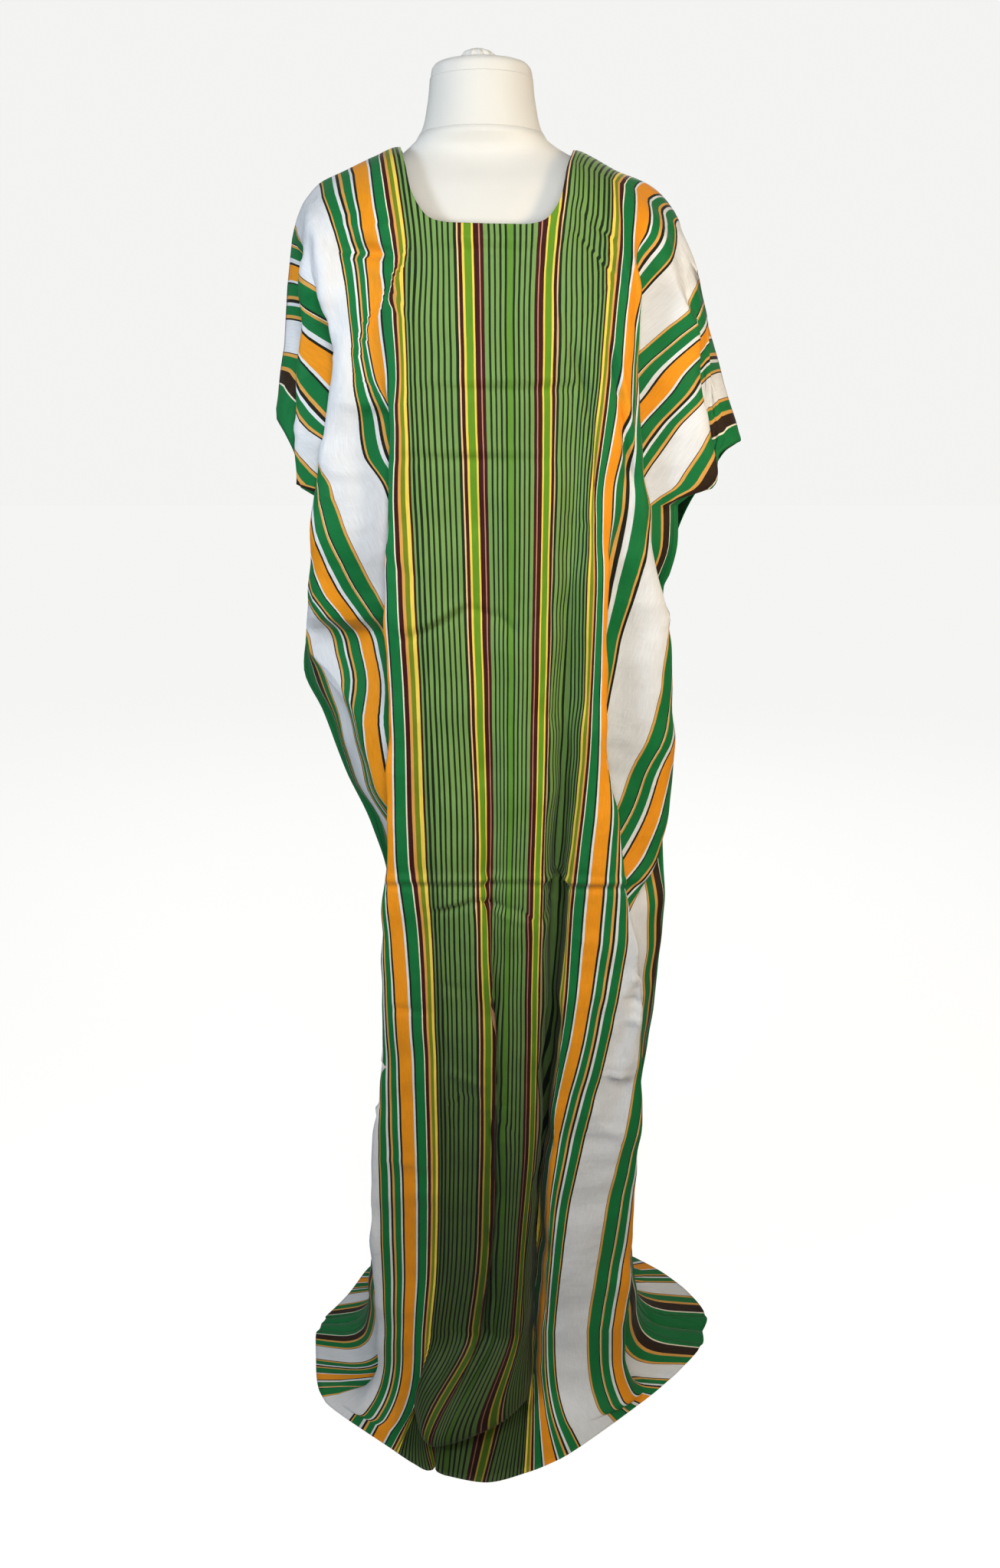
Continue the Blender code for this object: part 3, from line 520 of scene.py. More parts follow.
def back_place(folds, w, z, x, y):
    """The back hangs as the front does, turned over the line through its two side seams."""
    front, left, right = [section(folds, np.full(z.shape, fold), z)[2]
                          for fold in (MIDDLE_FOLD, 0.0, len(folds) - 1.0)]
    seam = left + (right - left) * np.clip(w / (len(folds) - 1), 0, 1)
    spread = column(FOOT, 1, z)
    back = BACK_DEPTH + (BACK_HEM - BACK_DEPTH) * spread
    share = (seam - y) / np.maximum(seam - front, 1.0)
    slide = BACK_SLIDE * spread * np.clip(share * (1 - share), 0, 1)
    return x + slide, seam + (back - seam) * share


print("neck hole", NECK_ENDS[1] - NECK_ENDS[0], "mm wide and", NECK_FRONT, "mm deep in front")

# %% [markdown]
# ## Weaving the grid
#
# The cloth is a grid: columns run down it and rows across it. Columns crowd together at the crests of
# the folds, where the cloth turns in a few millimetres. Rows crowd together at the shoulder roll.

# %% Columns and rows of the cloth
# Cells between one fold and the next, and how they are spread: even, both ends, start or finish.
SPREADS = (
    (10, "finish"), (9, "both"), (9, "both"), (9, "both"), (9, "both"), (9, "both"), (10, "start"),
    (16, "both"), (8, "even"), (9, "even"), (16, "finish"), (8, "both"), (8, "both"), (13, "finish"),
    (9, "both"), (9, "both"), (8, "both"), (8, "both"), (8, "both"), (14, "start"),
)
EVEN_BOTH, EVEN_ONE = 0.35, 0.25     # what stays even where columns crowd at both ends or at one
ROLL_CELLS = 9        # rows of the shoulder roll
SLEEVE_CELLS = 54     # rows from there to the foot of the sleeves
SLEEVE_FOOT = 1215.0
# Level rows: down to this height, with about this much between them.
ROW_STEPS = (
    (1110, 8.8), (1040, 4.2), (800, 9.5), (715, 3.4), (650, 9.0), (575, 5.2), (525, 9.0), (505, 4.0),
    (475, 9.0), (450, 5.0), (100, 9.2),
)
# Rows near the floor, where the cloth turns out.
FLOOR_ROWS = (92, 84, 76, 68, 60, 53, 46, 40, 34.5, 29.5, 25.5, 22, 19, 16, 13, 10.5, 8.8, 7.6, 6.4,
              5.4, 4.5, 3.6, 2.8, 2.0, HEM_HEIGHT)


def column_places():
    """Fold numbers of the columns."""
    out = []
    for k, (count, spread) in enumerate(SPREADS):
        t = np.arange(count) / count
        if spread == "both":
            t = EVEN_BOTH * t + (1 - EVEN_BOTH) * 0.5 * (1 - np.cos(math.pi * t))
        if spread == "start":
            t = EVEN_ONE * t + (1 - EVEN_ONE) * t ** 2
        if spread == "finish":
            t = EVEN_ONE * t + (1 - EVEN_ONE) * (1 - (1 - t) ** 2)
        out += list(k + t)
    return np.array(out + [float(len(SPREADS))])


def row_levels():
    """Heights of the level rows below the sleeves, crowded at creases and at the floor."""
    out = []
    top = SLEEVE_FOOT
    for foot, step in ROW_STEPS:
        count = max(1, round((top - foot) / step))
        out += list(top + (foot - top) * np.arange(1, count + 1) / count)
        top = foot
    return out + list(FLOOR_ROWS)


print(len(column_places()), "columns,", ROLL_CELLS + SLEEVE_CELLS + 1 + len(row_levels()), "rows")

# %% Grid of the cloth
START_RANGE = (1150.0, 1562.0)       # the cloth starts somewhere between these heights
HALVINGS = 44         # times that this range is halved to find the start
LEAST_ROLL = 12.0     # the shoulder roll is at least this deep
ROLL_SIDEWAYS = 1.6   # the roll comes to its width faster than to its depth


def cloth_grid(folds, w, neck, side):
    """Places of the cloth, and u across it, as grids with a row for each level."""
    low, high = [np.full(w.shape, level) for level in START_RANGE]
    for _ in range(HALVINGS):
        middle = 0.5 * (low + high)
        above = middle > top_of(section(folds, w, middle)[0], neck)
        high = np.where(above, middle, high)
        low = np.where(above, low, middle)
    start = 0.5 * (low + high)
    u = section(folds, w, start)[0]
    roll_foot = np.minimum(column(RIDGE, 3, u) - column(RIDGE, 4, u), start - LEAST_ROLL)
    turns = np.linspace(0.0, 1.0, ROLL_CELLS + 1)
    heights = [start - (start - roll_foot) * (1 - math.cos(s * math.pi / 2)) for s in turns]
    steps = np.linspace(0.0, 1.0, SLEEVE_CELLS + 1)[1:]
    heights += [roll_foot + (SLEEVE_FOOT - roll_foot) * s for s in steps]
    heights += [np.full(w.shape, level) for level in row_levels()]
    z = np.array(heights)
    u, x, y = section(folds, np.broadcast_to(w, z.shape), z)
    if side > 0:
        x, y = back_place(folds, w, z, x, y)
    else:
        x, y = toe(u, x, y, z)
    ridge_x, ridge_y, ridge_z, depth = [column(RIDGE, k, u) for k in (1, 2, 3, 4)]
    down = np.clip((ridge_z - z) / depth, 0, 1)
    roll = np.sqrt(np.clip(1 - (1 - down) ** 2, 0, 1))
    y = ridge_y + (y - ridge_y) * roll
    x = ridge_x + (x - ridge_x) * np.clip(roll * ROLL_SIDEWAYS, 0, 1)
    return np.stack([x, y, z], axis=-1), u

# %% [markdown]
# In the middle the skirt is longer than the way to the floor. It lands before its hem, bulges into a
# lip and comes out again under it. The toe table gives the place of that lip.

# %% The toe of the skirt
# The lip of the bulge: place across the cloth u, and x, y.
TOE = (
    (-110, -108, -146), (-95, -101, -154), (-75, -95, -178), (-58, -90, -197), (-41, -81, -213),
    (-20, -68, -219), (0, -54, -216), (20, -28, -206), (41, 4, -190), (60, 26, -175), (80, 40, -159),
    (107, 53, -141),
)
TOE_TOP = 120.0      # height where the bulge starts
TOE_LIP = 30.0       # height of the lip
TOE_FOOT = 8.0       # height where the cloth comes out again
TOE_UNDER = 30.0     # how far the cloth goes back under the lip
TOE_SWELL = 1.7      # the bulge starts slowly
TOE_ENDS = (-112.0, 114.0)           # where the bulge ends across the cloth
TOE_RUNS = (22.0, 30.0)              # how far it takes to die out there
# The hem under the toe, where a pleat on the floor hides a group of stripes: u, x, y.
TOE_HEM = (
    (-110, -124, -202), (-82, -99, -220), (-57, -78, -231), (-50, -73, -230), (-31, -69, -224),
    (-14, -69, -230), (-9, -65, -234), (0, -56, -238),
)


def toe(u, x, y, z):
    """Folds the middle of the front over its own hem."""
    share = np.clip(np.minimum((u - TOE_ENDS[0]) / TOE_RUNS[0], (TOE_ENDS[1] - u) / TOE_RUNS[1]), 0, 1)
    share = share * share * (3 - 2 * share) * (z < TOE_TOP)
    out = np.sin(np.clip((TOE_TOP - z) / (TOE_TOP - TOE_LIP), 0, 1) * math.pi / 2) ** TOE_SWELL
    under = 1 - np.cos(np.clip((TOE_LIP - z) / (TOE_LIP - TOE_FOOT), 0, 1) * math.pi / 2)
    strip = np.clip((TOE_FOOT - z) / (TOE_FOOT - HEM_HEIGHT), 0, 1)
    top_row = int(np.argmax(z[:, 0] <= TOE_TOP)) - 1
    pleated = (u[-1] > TOE_HEM[0][0]) & (u[-1] < TOE_HEM[-1][0])
    moved = []
    for k, old, back in ((1, x, 0.0), (2, y, TOE_UNDER)):
        new = old[top_row] + (column(TOE, k, u) - old[top_row]) * out + back * under
        hem = np.where(pleated, column(TOE_HEM, k, u[-1]), old[-1])
        new = new + (hem - new) * strip
        moved.append(old + (new - old) * share)
    return moved


print("the lip stands", round(-min(row[2] for row in TOE)), "mm in front of the middle")

# %% Lay out the front and the back
back_folds = [list(rows) for rows in front_folds]
back_folds[0] = list(BACK_END_LEFT) + [r for r in LEFT["end"] if r[0] < UNDERARM[0]]
back_folds[-1] = list(BACK_END_RIGHT) + [r for r in RIGHT["end"] if r[0] < UNDERARM[1]]
places = column_places()
front_grid, front_u = cloth_grid(front_folds, places, NECK_FRONT, -1)
back_grid, back_u = cloth_grid(back_folds, places, NECK_BACK, 1)
seam_from = int(np.argmax(front_grid[:, 0, 2] < UNDERARM[0]))
for seam in (0, -1):
    back_grid[seam_from:, seam] = front_grid[seam_from:, seam]
print("rows and columns", front_grid.shape[:2])

# %% [markdown]
# ## Creases
#
# The cloth was folded flat before it was worn, so level pressed creases cross it, and it pulls from the
# shoulders in slanting ones. Each crease is one row of a table: its two ends on the cloth, its width
# and its depth. A trough or ridge dies out at its ends. Soft uneven waves lie under them all. Tucks are
# small folds where the cloth lies over itself: a step and a shift of the stripes are enough for them.

# %% Creases and tucks
# Each crease: from u, z to u, z, its width, and how far it stands out (+) or in (-).
CREASES = (
    (-90, 1449, 44, 1447, 6, -4.2), (-86, 1458, 40, 1456, 6, 2.4), (-110, 1315, 110, 1318, 6, -4.0),
    (-104, 1324, 100, 1327, 6, 2.4), (-100, 1258, 40, 1255, 6, 2.4), (-125, 1249, 60, 1246, 6, -4.2),
    (-116, 1056, -48, 1094, 5, -6.4), (-116, 1067, -48, 1105, 5, 4.0), (-52, 1094, -16, 1080, 5, -5.0),
    (-20, 1088, 8, 1064, 5, -5.6), (8, 1078, 40, 1100, 6, 2.6), (-152, 777, 30, 779, 5, 4.2),
    (20, 779, 192, 772, 5, 4.2), (-152, 768, 40, 770, 5, -3.0), (14, 771, 192, 762, 5, -3.2),
    (66, 1362, 100, 1272, 5, -6.0), (96, 1286, 116, 1188, 5, -6.0), (59, 1362, 92, 1272, 5, 3.4),
    (106, 1370, 129, 1310, 5, -6.0), (125, 1320, 156, 1250, 5, -6.0), (150, 1264, 170, 1216, 5, -5.0),
    (114, 1368, 137, 1308, 5, 3.2), (134, 1318, 164, 1250, 5, 3.2), (40, 1200, 50, 1080, 6, -3.0),
    (-186, 1490, -228, 1440, 7, -4.4), (-190, 1450, -226, 1400, 6, 3.8),
    (-184, 1420, -222, 1350, 7, -4.4), (-200, 1500, -214, 1400, 6, 3.6),
    (-196, 1400, -230, 1380, 6, -3.6), (-180, 1484, -108, 1478, 5, -5.5),
    (-180, 1475, -108, 1469, 5, 3.8), (-184, 1452, -112, 1446, 5, -6.0), (-184, 1443, -112, 1437, 4, 4.6),
    (-128, 1148, -100, 1120, 6, -4.2), (-70, 900, -20, 912, 6, -3.0), (20, 980, 70, 966, 6, -3.4),
    (-100, 640, -60, 632, 6, -3.4), (10, 560, 46, 568, 5, -3.2), (-96, 300, -48, 312, 6, -3.6),
    (-97, 733, -50, 751, 5, -5.4), (-54, 751, 24, 733, 5, -5.2), (-30, 741, 42, 720, 7, 3.6),
    (-97, 742, -50, 760, 5, 3.2), (40, 722, 78, 745, 6, -2.9), (75, 1150, 88, 700, 9, -4.0),
    (86, 760, 96, 240, 11, -8.0), (-30, 620, -28, 130, 5, -5.0), (-52, 640, -50, 150, 7, 4.3),
    (66, 1494, 108, 1458, 6, -4.9), (64, 1470, 108, 1434, 6, -5.5), (100, 1440, 122, 1410, 6, -4.3),
    (-170, 1454, -104, 1436, 7, -4.9), (-164, 1438, -110, 1422, 7, 3.2),
    (-158, 1480, -122, 1470, 6, -3.5), (-200, 1460, -176, 1380, 7, 3.5), (-228, 1268, -204, 1172, 6, 4.3),
    (-210, 1196, -196, 1085, 7, -4.1), (-220, 1120, -190, 1110, 6, -2.9), (228, 612, 186, 452, 8, 4.0),
    (214, 604, 180, 455, 8, -4.9), (190, 645, 229, 638, 5, 4.8), (188, 617, 226, 609, 5, -5.4),
    (194, 592, 229, 583, 5, 4.8), (190, 513, 226, 508, 5, 4.8), (186, 431, 228, 424, 6, 5.4),
    (-230, 540, -184, 536, 5, 4.8), (188, 502, 228, 497, 5, -4.4), (184, 420, 228, 413, 5, -4.6),
    (-230, 528, -184, 524, 5, -4.6), (-228, 471, -182, 462, 5, 4.8), (-152, 610, -116, 604, 5, -4.2),
    (118, 701, 156, 690, 5, 4.8), (-180, 395, -100, 388, 6, 4.2), (-92, 520, -40, 505, 6, 4.2),
    (150, 640, 176, 600, 6, 2.9), (-140, 330, -96, 322, 7, -3.2), (236, 1010, 190, 900, 9, 4.6),
    (222, 960, 182, 820, 8, -4.3), (250, 1120, 200, 1010, 8, 3.8), (-34, 1010, -30, 690, 9, -3.0),
    (18, 900, 24, 640, 9, -2.6), (-88, 690, -84, 300, 10, -2.6), (-64, 480, -40, 470, 6, 2.6),
    (-20, 470, 24, 478, 6, -2.6), (-86, 1180, -60, 1186, 7, -2.2), (62, 1188, 112, 1176, 7, -2.4),
    (-250, 1150, -214, 1040, 7, -3.4), (-242, 1230, -222, 1150, 6, 2.8),
    (-206, 1290, -190, 1236, 6, -2.6), (208, 700, 176, 560, 8, 3.6), (226, 520, 200, 400, 8, -3.4),
    (236, 460, 214, 330, 9, 3.2), (196, 380, 232, 372, 6, -2.6), (300, 1330, 262, 1240, 8, 3.0),
    (330, 1300, 300, 1225, 7, -2.6), (-352, 1300, -318, 1225, 8, 2.6), (-80, 205, -64, 66, 9, -8.0),
    (6, 215, -8, 64, 8, -6.5), (60, 1400, 74, 1290, 8, -3.8), (30, 1440, 60, 1380, 7, -3.2),
    (196, 1480, 232, 1400, 7, -3.6), (214, 1420, 244, 1330, 7, 3.4),
)
# At a tuck the cloth above the line lies over the cloth below it: from u, z to u, z, then how far
# the cloth below is set back, and how far its stripes are shifted.
TUCKS = (
    (-96, 1458, -132, 1400, 5.6, 10.0), (-122, 1412, -182, 1342, 6.2, 10.0),
    (58, 1498, 112, 1456, 3.0, 2.6), (62, 1468, 112, 1424, 3.0, 2.4), (-48, 752, -22, 742, 2.4, -1.6),
    (14, 742, 44, 724, 2.4, 1.8), (-100, 738, -56, 748, 2.4, -1.2), (-92, 478, -52, 496, 2.4, -1.6),
    (-20, 452, 20, 436, 2.4, 1.6),
)
TUCK_EDGE = 3.0      # width of the step at the line
TUCK_RUN = 60.0      # how far below its line a tuck dies out
TUCK_BACK = 0.35     # the set back dies out in this share of it
BIG_SHIFT = 5.0      # the stripes right of TUCK_CALM keep their way where the shift is more than this
TUCK_CALM = -92.0
TUCK_CALM_RUN = 32.0
CALM_ROWS, CALM_COLUMNS, CALM_HEIGHT = 10.0, 8.0, 60.0     # no creases at the shoulder, seams and floor
# Waves: shares of u and z, length, start and height.
WAVES = (
    (1.0, 0.10, 96, 0.4, 1.5), (0.7, 0.70, 170, 1.9, 1.3), (-0.6, 0.80, 124, 4.1, 1.0),
    (0.15, 1.0, 82, 2.7, 0.7), (-0.2, 1.0, 57, 5.2, 0.5), (0.9, 0.4, 61, 3.3, 0.5),
)
print(len(CREASES), "creases,", len(TUCKS), "tucks")

# %% Raise the creases
def beside(u, z, line):
    """How far each place lies off a line on the cloth, and how the line fades towards its ends."""
    u0, z0, u1, z1 = line
    run = math.hypot(u1 - u0, z1 - z0)
    along = ((u - u0) * (u1 - u0) + (z - z0) * (z1 - z0)) / run ** 2
    off = ((z - z0) * (u1 - u0) - (u - u0) * (z1 - z0)) / run
    return off, np.sqrt(np.clip(np.sin(math.pi * np.clip(along, 0, 1)), 0, 1))


def crease_height(u, z):
    """How far the cloth stands out (+) or in (-) at each place."""
    out = np.zeros_like(u)
    for *line, width, depth in CREASES:
        off, fade = beside(u, z, line)
        out += depth * np.exp(-(off / width) ** 2) * fade
    for share_u, share_z, length, start, height in WAVES:
        out += height * np.sin(2 * math.pi * (share_u * u + share_z * z) / length + start)
    return out


def tuck_shape(u, z):
    """How far the cloth is set back under its tucks, and how far its stripes are shifted."""
    back = np.zeros_like(u)
    shift = np.zeros_like(u)
    for *line, depth, slide in TUCKS:
        off, fade = beside(u, z, line)
        below = -off * math.copysign(1.0, line[2] - line[0])
        edge = np.clip(0.5 + below / TUCK_EDGE, 0, 1) * fade
        back += depth * edge * np.exp(-np.maximum(below, 0) / (TUCK_BACK * TUCK_RUN))
        calm = np.clip((TUCK_CALM - u) / TUCK_CALM_RUN, 0, 1) if slide > BIG_SHIFT else 1.0
        shift += slide * edge * calm * np.exp(-np.maximum(below, 0) / TUCK_RUN)
    return back, shift


def grid_normals(grid, side):
    """Outward direction at each place of a grid."""
    cell = np.cross(grid[1:, 1:] - grid[:-1, :-1], grid[1:, :-1] - grid[:-1, 1:])
    normal = np.zeros_like(grid)
    for i, j in ((0, 0), (0, 1), (1, 0), (1, 1)):
        normal[i:grid.shape[0] - 1 + i, j:grid.shape[1] - 1 + j] += cell
    normal *= side
    return normal / np.maximum(np.linalg.norm(normal, axis=-1, keepdims=True), 1e-9)


def creased(grid, u, side):
    """The grid with its creases, calm at the seams, the shoulder and the floor."""
    z = grid[..., 2]
    height = crease_height(u, z)
    if side < 0:
        height = height - tuck_shape(u, z)[0]
    rows = np.arange(grid.shape[0])[:, None]
    cols = np.arange(grid.shape[1])[None, :]
    calm = np.clip(rows / CALM_ROWS, 0, 1) * np.clip(z / CALM_HEIGHT, 0, 1)
    calm = calm * np.clip(np.minimum(cols, grid.shape[1] - 1 - cols) / CALM_COLUMNS, 0, 1)
    return grid + grid_normals(grid, side) * (height * calm)[..., None]

# %% [markdown]
# The finished grid becomes a mesh, with each point's place on the flat cloth kept as a texture map, so
# that the print bends with the folds. A cloth of thin cotton is given its thickness by a modifier, which
# is simpler than making both faces by hand.

# %% Sew the cloth objects
CLOTH_THICK = 0.8


def cloth_object(name, grid, u, side):
    """Thin cloth on a grid, with its own flat place as a texture map."""
    rows, cols = grid.shape[:2]
    index = np.arange(rows * cols).reshape(rows, cols)
    corners = [index[:-1, :-1], index[1:, :-1], index[1:, 1:], index[:-1, 1:]]
    if side > 0:
        corners = corners[::-1]
    faces = np.stack(corners, axis=-1).reshape(-1, 4)
    cloth = plain_object(name, (grid.reshape(-1, 3) * MM).tolist(), faces.tolist())
    steps = np.linalg.norm(np.diff(grid, axis=0), axis=-1)
    down = np.concatenate([np.zeros((1, cols)), np.cumsum(steps, axis=0)])
    flat = np.stack([u * MM, down * MM], axis=-1).reshape(-1, 2)
    layer = cloth.data.uv_layers.new(name="flat_cloth")
    layer.data.foreach_set("uv", flat[faces.reshape(-1)].astype(np.float32).reshape(-1))
    for face in cloth.data.polygons:
        face.use_smooth = True
    thick = cloth.modifiers.new("thickness", "SOLIDIFY")
    thick.thickness = CLOTH_THICK * MM
    thick.offset = 0.0
    return cloth


front_print = front_u + tuck_shape(front_u, front_grid[..., 2])[1]
front = cloth_object("dress_front", creased(front_grid, front_u, -1), front_print, -1)
back = cloth_object("dress_back", creased(back_grid, back_u, 1), back_u, 1)
for cloth, node in ((front, "front"), (back, "back")):
    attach(cloth, "root")
    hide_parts(node)
    print(cloth.name, len(cloth.data.polygons), "faces")

# %% [markdown]
# ## Stripes
#
# The cloth is printed in stripes that run from hem to hem over the shoulder. The pattern is the same on
# both sides of the middle, so one list from the middle outwards is enough. Each row gives where a
# stripe ends, in millimetres from the middle, and its colour. A constant colour ramp holds at most 32
# colours, so the list is shared out over several ramps, one after the other.

# %% The list of stripes
def from_hex(text):
    """Linear colour from the usual six signs."""
    parts = [int(text[i:i + 2], 16) / 255 for i in (0, 2, 4)]
    return tuple(v / 12.92 if v <= 0.04045 else ((v + 0.055) / 1.055) ** 2.4 for v in parts)


COLOURS = {
    "green": "0B7C42", "orange": "F09F1B", "yellow": "EFD55E", "peach": "DFA957", "cream": "F1EBD6",
    "white": "E4E6EA", "maroon": "420A0C", "black": "151A0E", "olive": "6C9A22", "moss": "7C8C1C",
    "sand": "EBCB96", "lime": "6B9A3E", "field": "80A45E", "pin": "0E2A0D", "pink": "C49176",
    "brown": "33200F",
}
# Where each stripe ends, and its colour.
STRIPES = (
    (3.1, "lime"), (5.3, "pin"), (8.8, "field"), (11.0, "pin"), (14.5, "field"), (16.7, "pin"),
    (20.1, "field"), (22.3, "pin"), (26.6, "field"), (30.1, "maroon"), (31.2, "pink"), (36.1, "maroon"),
    (38.1, "yellow"), (45.2, "olive"), (47.2, "yellow"), (50.6, "maroon"), (52.4, "sand"), (55.2, "pin"),
    (59.0, "field"), (61.2, "pin"), (64.6, "field"), (66.8, "pin"), (69.9, "field"), (72.0, "pin"),
    (76.0, "field"), (78.2, "pin"), (81.7, "field"), (83.9, "pin"), (86.8, "field"), (89.0, "pin"),
    (92.6, "field"), (94.7, "pin"), (97.0, "field"), (99.1, "pin"), (100.8, "field"), (103.0, "maroon"),
    (105.6, "yellow"), (109.2, "moss"), (111.3, "peach"), (114.8, "maroon"), (116.1, "cream"),
    (125.5, "green"), (127.4, "black"), (129.7, "white"), (144.0, "orange"), (146.2, "black"),
    (148.8, "white"), (156.1, "green"), (159.4, "peach"), (162.3, "black"), (165.9, "white"),
    (175.8, "green"), (178.0, "peach"), (179.9, "black"), (232.0, "white"), (232.8, "maroon"),
    (235.4, "peach"), (251.4, "green"), (253.0, "black"), (253.9, "cream"), (256.4, "peach"),
    (268.2, "green"), (272.1, "white"), (274.7, "black"), (290.7, "orange"), (293.3, "white"),
    (295.0, "black"), (306.1, "green"), (309.5, "peach"), (312.9, "black"), (315.4, "white"),
    (323.8, "green"), (327.2, "peach"), (328.9, "black"), (359.2, "white"), (360.0, "maroon"),
    (363.4, "peach"), (374.4, "green"), (377.8, "peach"), (389.6, "brown"), (391.2, "cream"),
    (430.0, "green"),
)
print(len(STRIPES), "stripes from the middle to the selvedge")

# %% [markdown]
# The print is only a part of the look. Real cotton is dyed a little unevenly, in fine streaks and broad
# patches, its stripes wander by a hair, and a plain weave and small crumples catch the light. Each of
# these is a noise on the flat cloth, stretched its own way. Painted shade darkens the print down the
# skirt, most of all in the pinstriped middle panel, for the shade that falls on the lower cloth.

# %% Figures of the cotton
RAMP_STRIPES = 28     # stripes on one ramp
# Noises: their stretch across and down the cloth, detail and roughness.
NOISES = {
    "wander": (3, 9, 2.0, 0.5), "dye": (900, 60, 3.0, 0.5), "patch": (14, 9, 3.0, 0.5),
    "weave": (1500, 1100, 1.0, 0.5), "crumple": (22, 34, 3.0, 0.55),
}
FACETS = (15, 11)     # stretch of the flat places between small creases
WANDER = 2.2          # how far the stripes wander, in millimetres
DYE, PATCH, EVEN = 0.30, 0.22, 0.74                        # shares of the shade
WEAVE_HIGH, CRUMPLE_HIGH, FACET_HIGH = 0.00010, 0.0030, 0.0058       # heights of the bumps
BUMP = 0.75
PANEL = 103.0         # half width of the pinstriped middle panel
# Painted shade down the cloth: from and to, in metres down the cloth, what is left, panel only.
PAINTED_SHADE_DOWN = ((0.45, 1.35, 0.84, False), (0.60, 1.25, 0.40, True))
print(len(NOISES), "noises on the cloth")

# %% Nodes for the finishes
def noise_node(tree, vector, scale, detail=2.0, rough=0.5):
    """Noise texture on a vector; gives its value."""
    node = tree.nodes.new("ShaderNodeTexNoise")
    node.inputs["Scale"].default_value = scale
    node.inputs["Detail"].default_value = detail
    node.inputs["Roughness"].default_value = rough
    tree.links.new(vector, node.inputs["Vector"])
    return node.outputs[0]


def stretched(tree, vector, across, down):
    """The flat cloth's place, stretched by two factors."""
    node = tree.nodes.new("ShaderNodeMapping")
    node.inputs["Scale"].default_value = (across, down, 1.0)
    tree.links.new(vector, node.inputs["Vector"])
    return node.outputs[0]


def mix_node(tree, share, a, b, blend="MIX"):
    """Mix of two colours; gives its colour."""
    node = tree.nodes.new("ShaderNodeMix")
    node.data_type = "RGBA"
    node.blend_type = blend
    for k, value in ((0, share), (6, a), (7, b)):
        if isinstance(value, float):
            node.inputs[k].default_value = value
        else:
            tree.links.new(value, node.inputs[k])
    return node.outputs[2]


def bump_node(tree, height, strength, distance, shader):
    """Bumps on a surface from a height."""
    node = tree.nodes.new("ShaderNodeBump")
    node.inputs["Strength"].default_value = strength
    node.inputs["Distance"].default_value = distance
    tree.links.new(height, node.inputs["Height"])
    tree.links.new(node.outputs[0], shader.inputs["Normal"])


# %% Print the stripes
def stripe_ramps(tree, place):
    """Chain of constant ramps over the stripe list; gives the colour."""
    colour = None
    begin = 0.0
    for first in range(0, len(STRIPES), RAMP_STRIPES):
        rows = STRIPES[first:first + RAMP_STRIPES]
        finish = rows[-1][0]
        share = math_node(tree, "DIVIDE", math_node(tree, "SUBTRACT", place, begin), finish - begin)
        ramp = tree.nodes.new("ShaderNodeValToRGB")
        ramp.color_ramp.interpolation = "CONSTANT"
        stops = ramp.color_ramp.elements
        stops.remove(stops[1])
        starts = [begin] + [row[0] for row in rows[:-1]]
        for k, (start, row) in enumerate(zip(starts, rows)):
            stop = stops[0] if k == 0 else stops.new((start - begin) / (finish - begin))
            stop.position = (start - begin) / (finish - begin)
            stop.color = from_hex(COLOURS[row[1]]) + (1.0,)
        tree.links.new(share, ramp.inputs[0])
        if colour is None:
            colour = ramp.outputs[0]
        else:
            beyond = math_node(tree, "GREATER_THAN", place, begin)
            colour = mix_node(tree, beyond, colour, ramp.outputs[0])
        begin = finish
    return colour


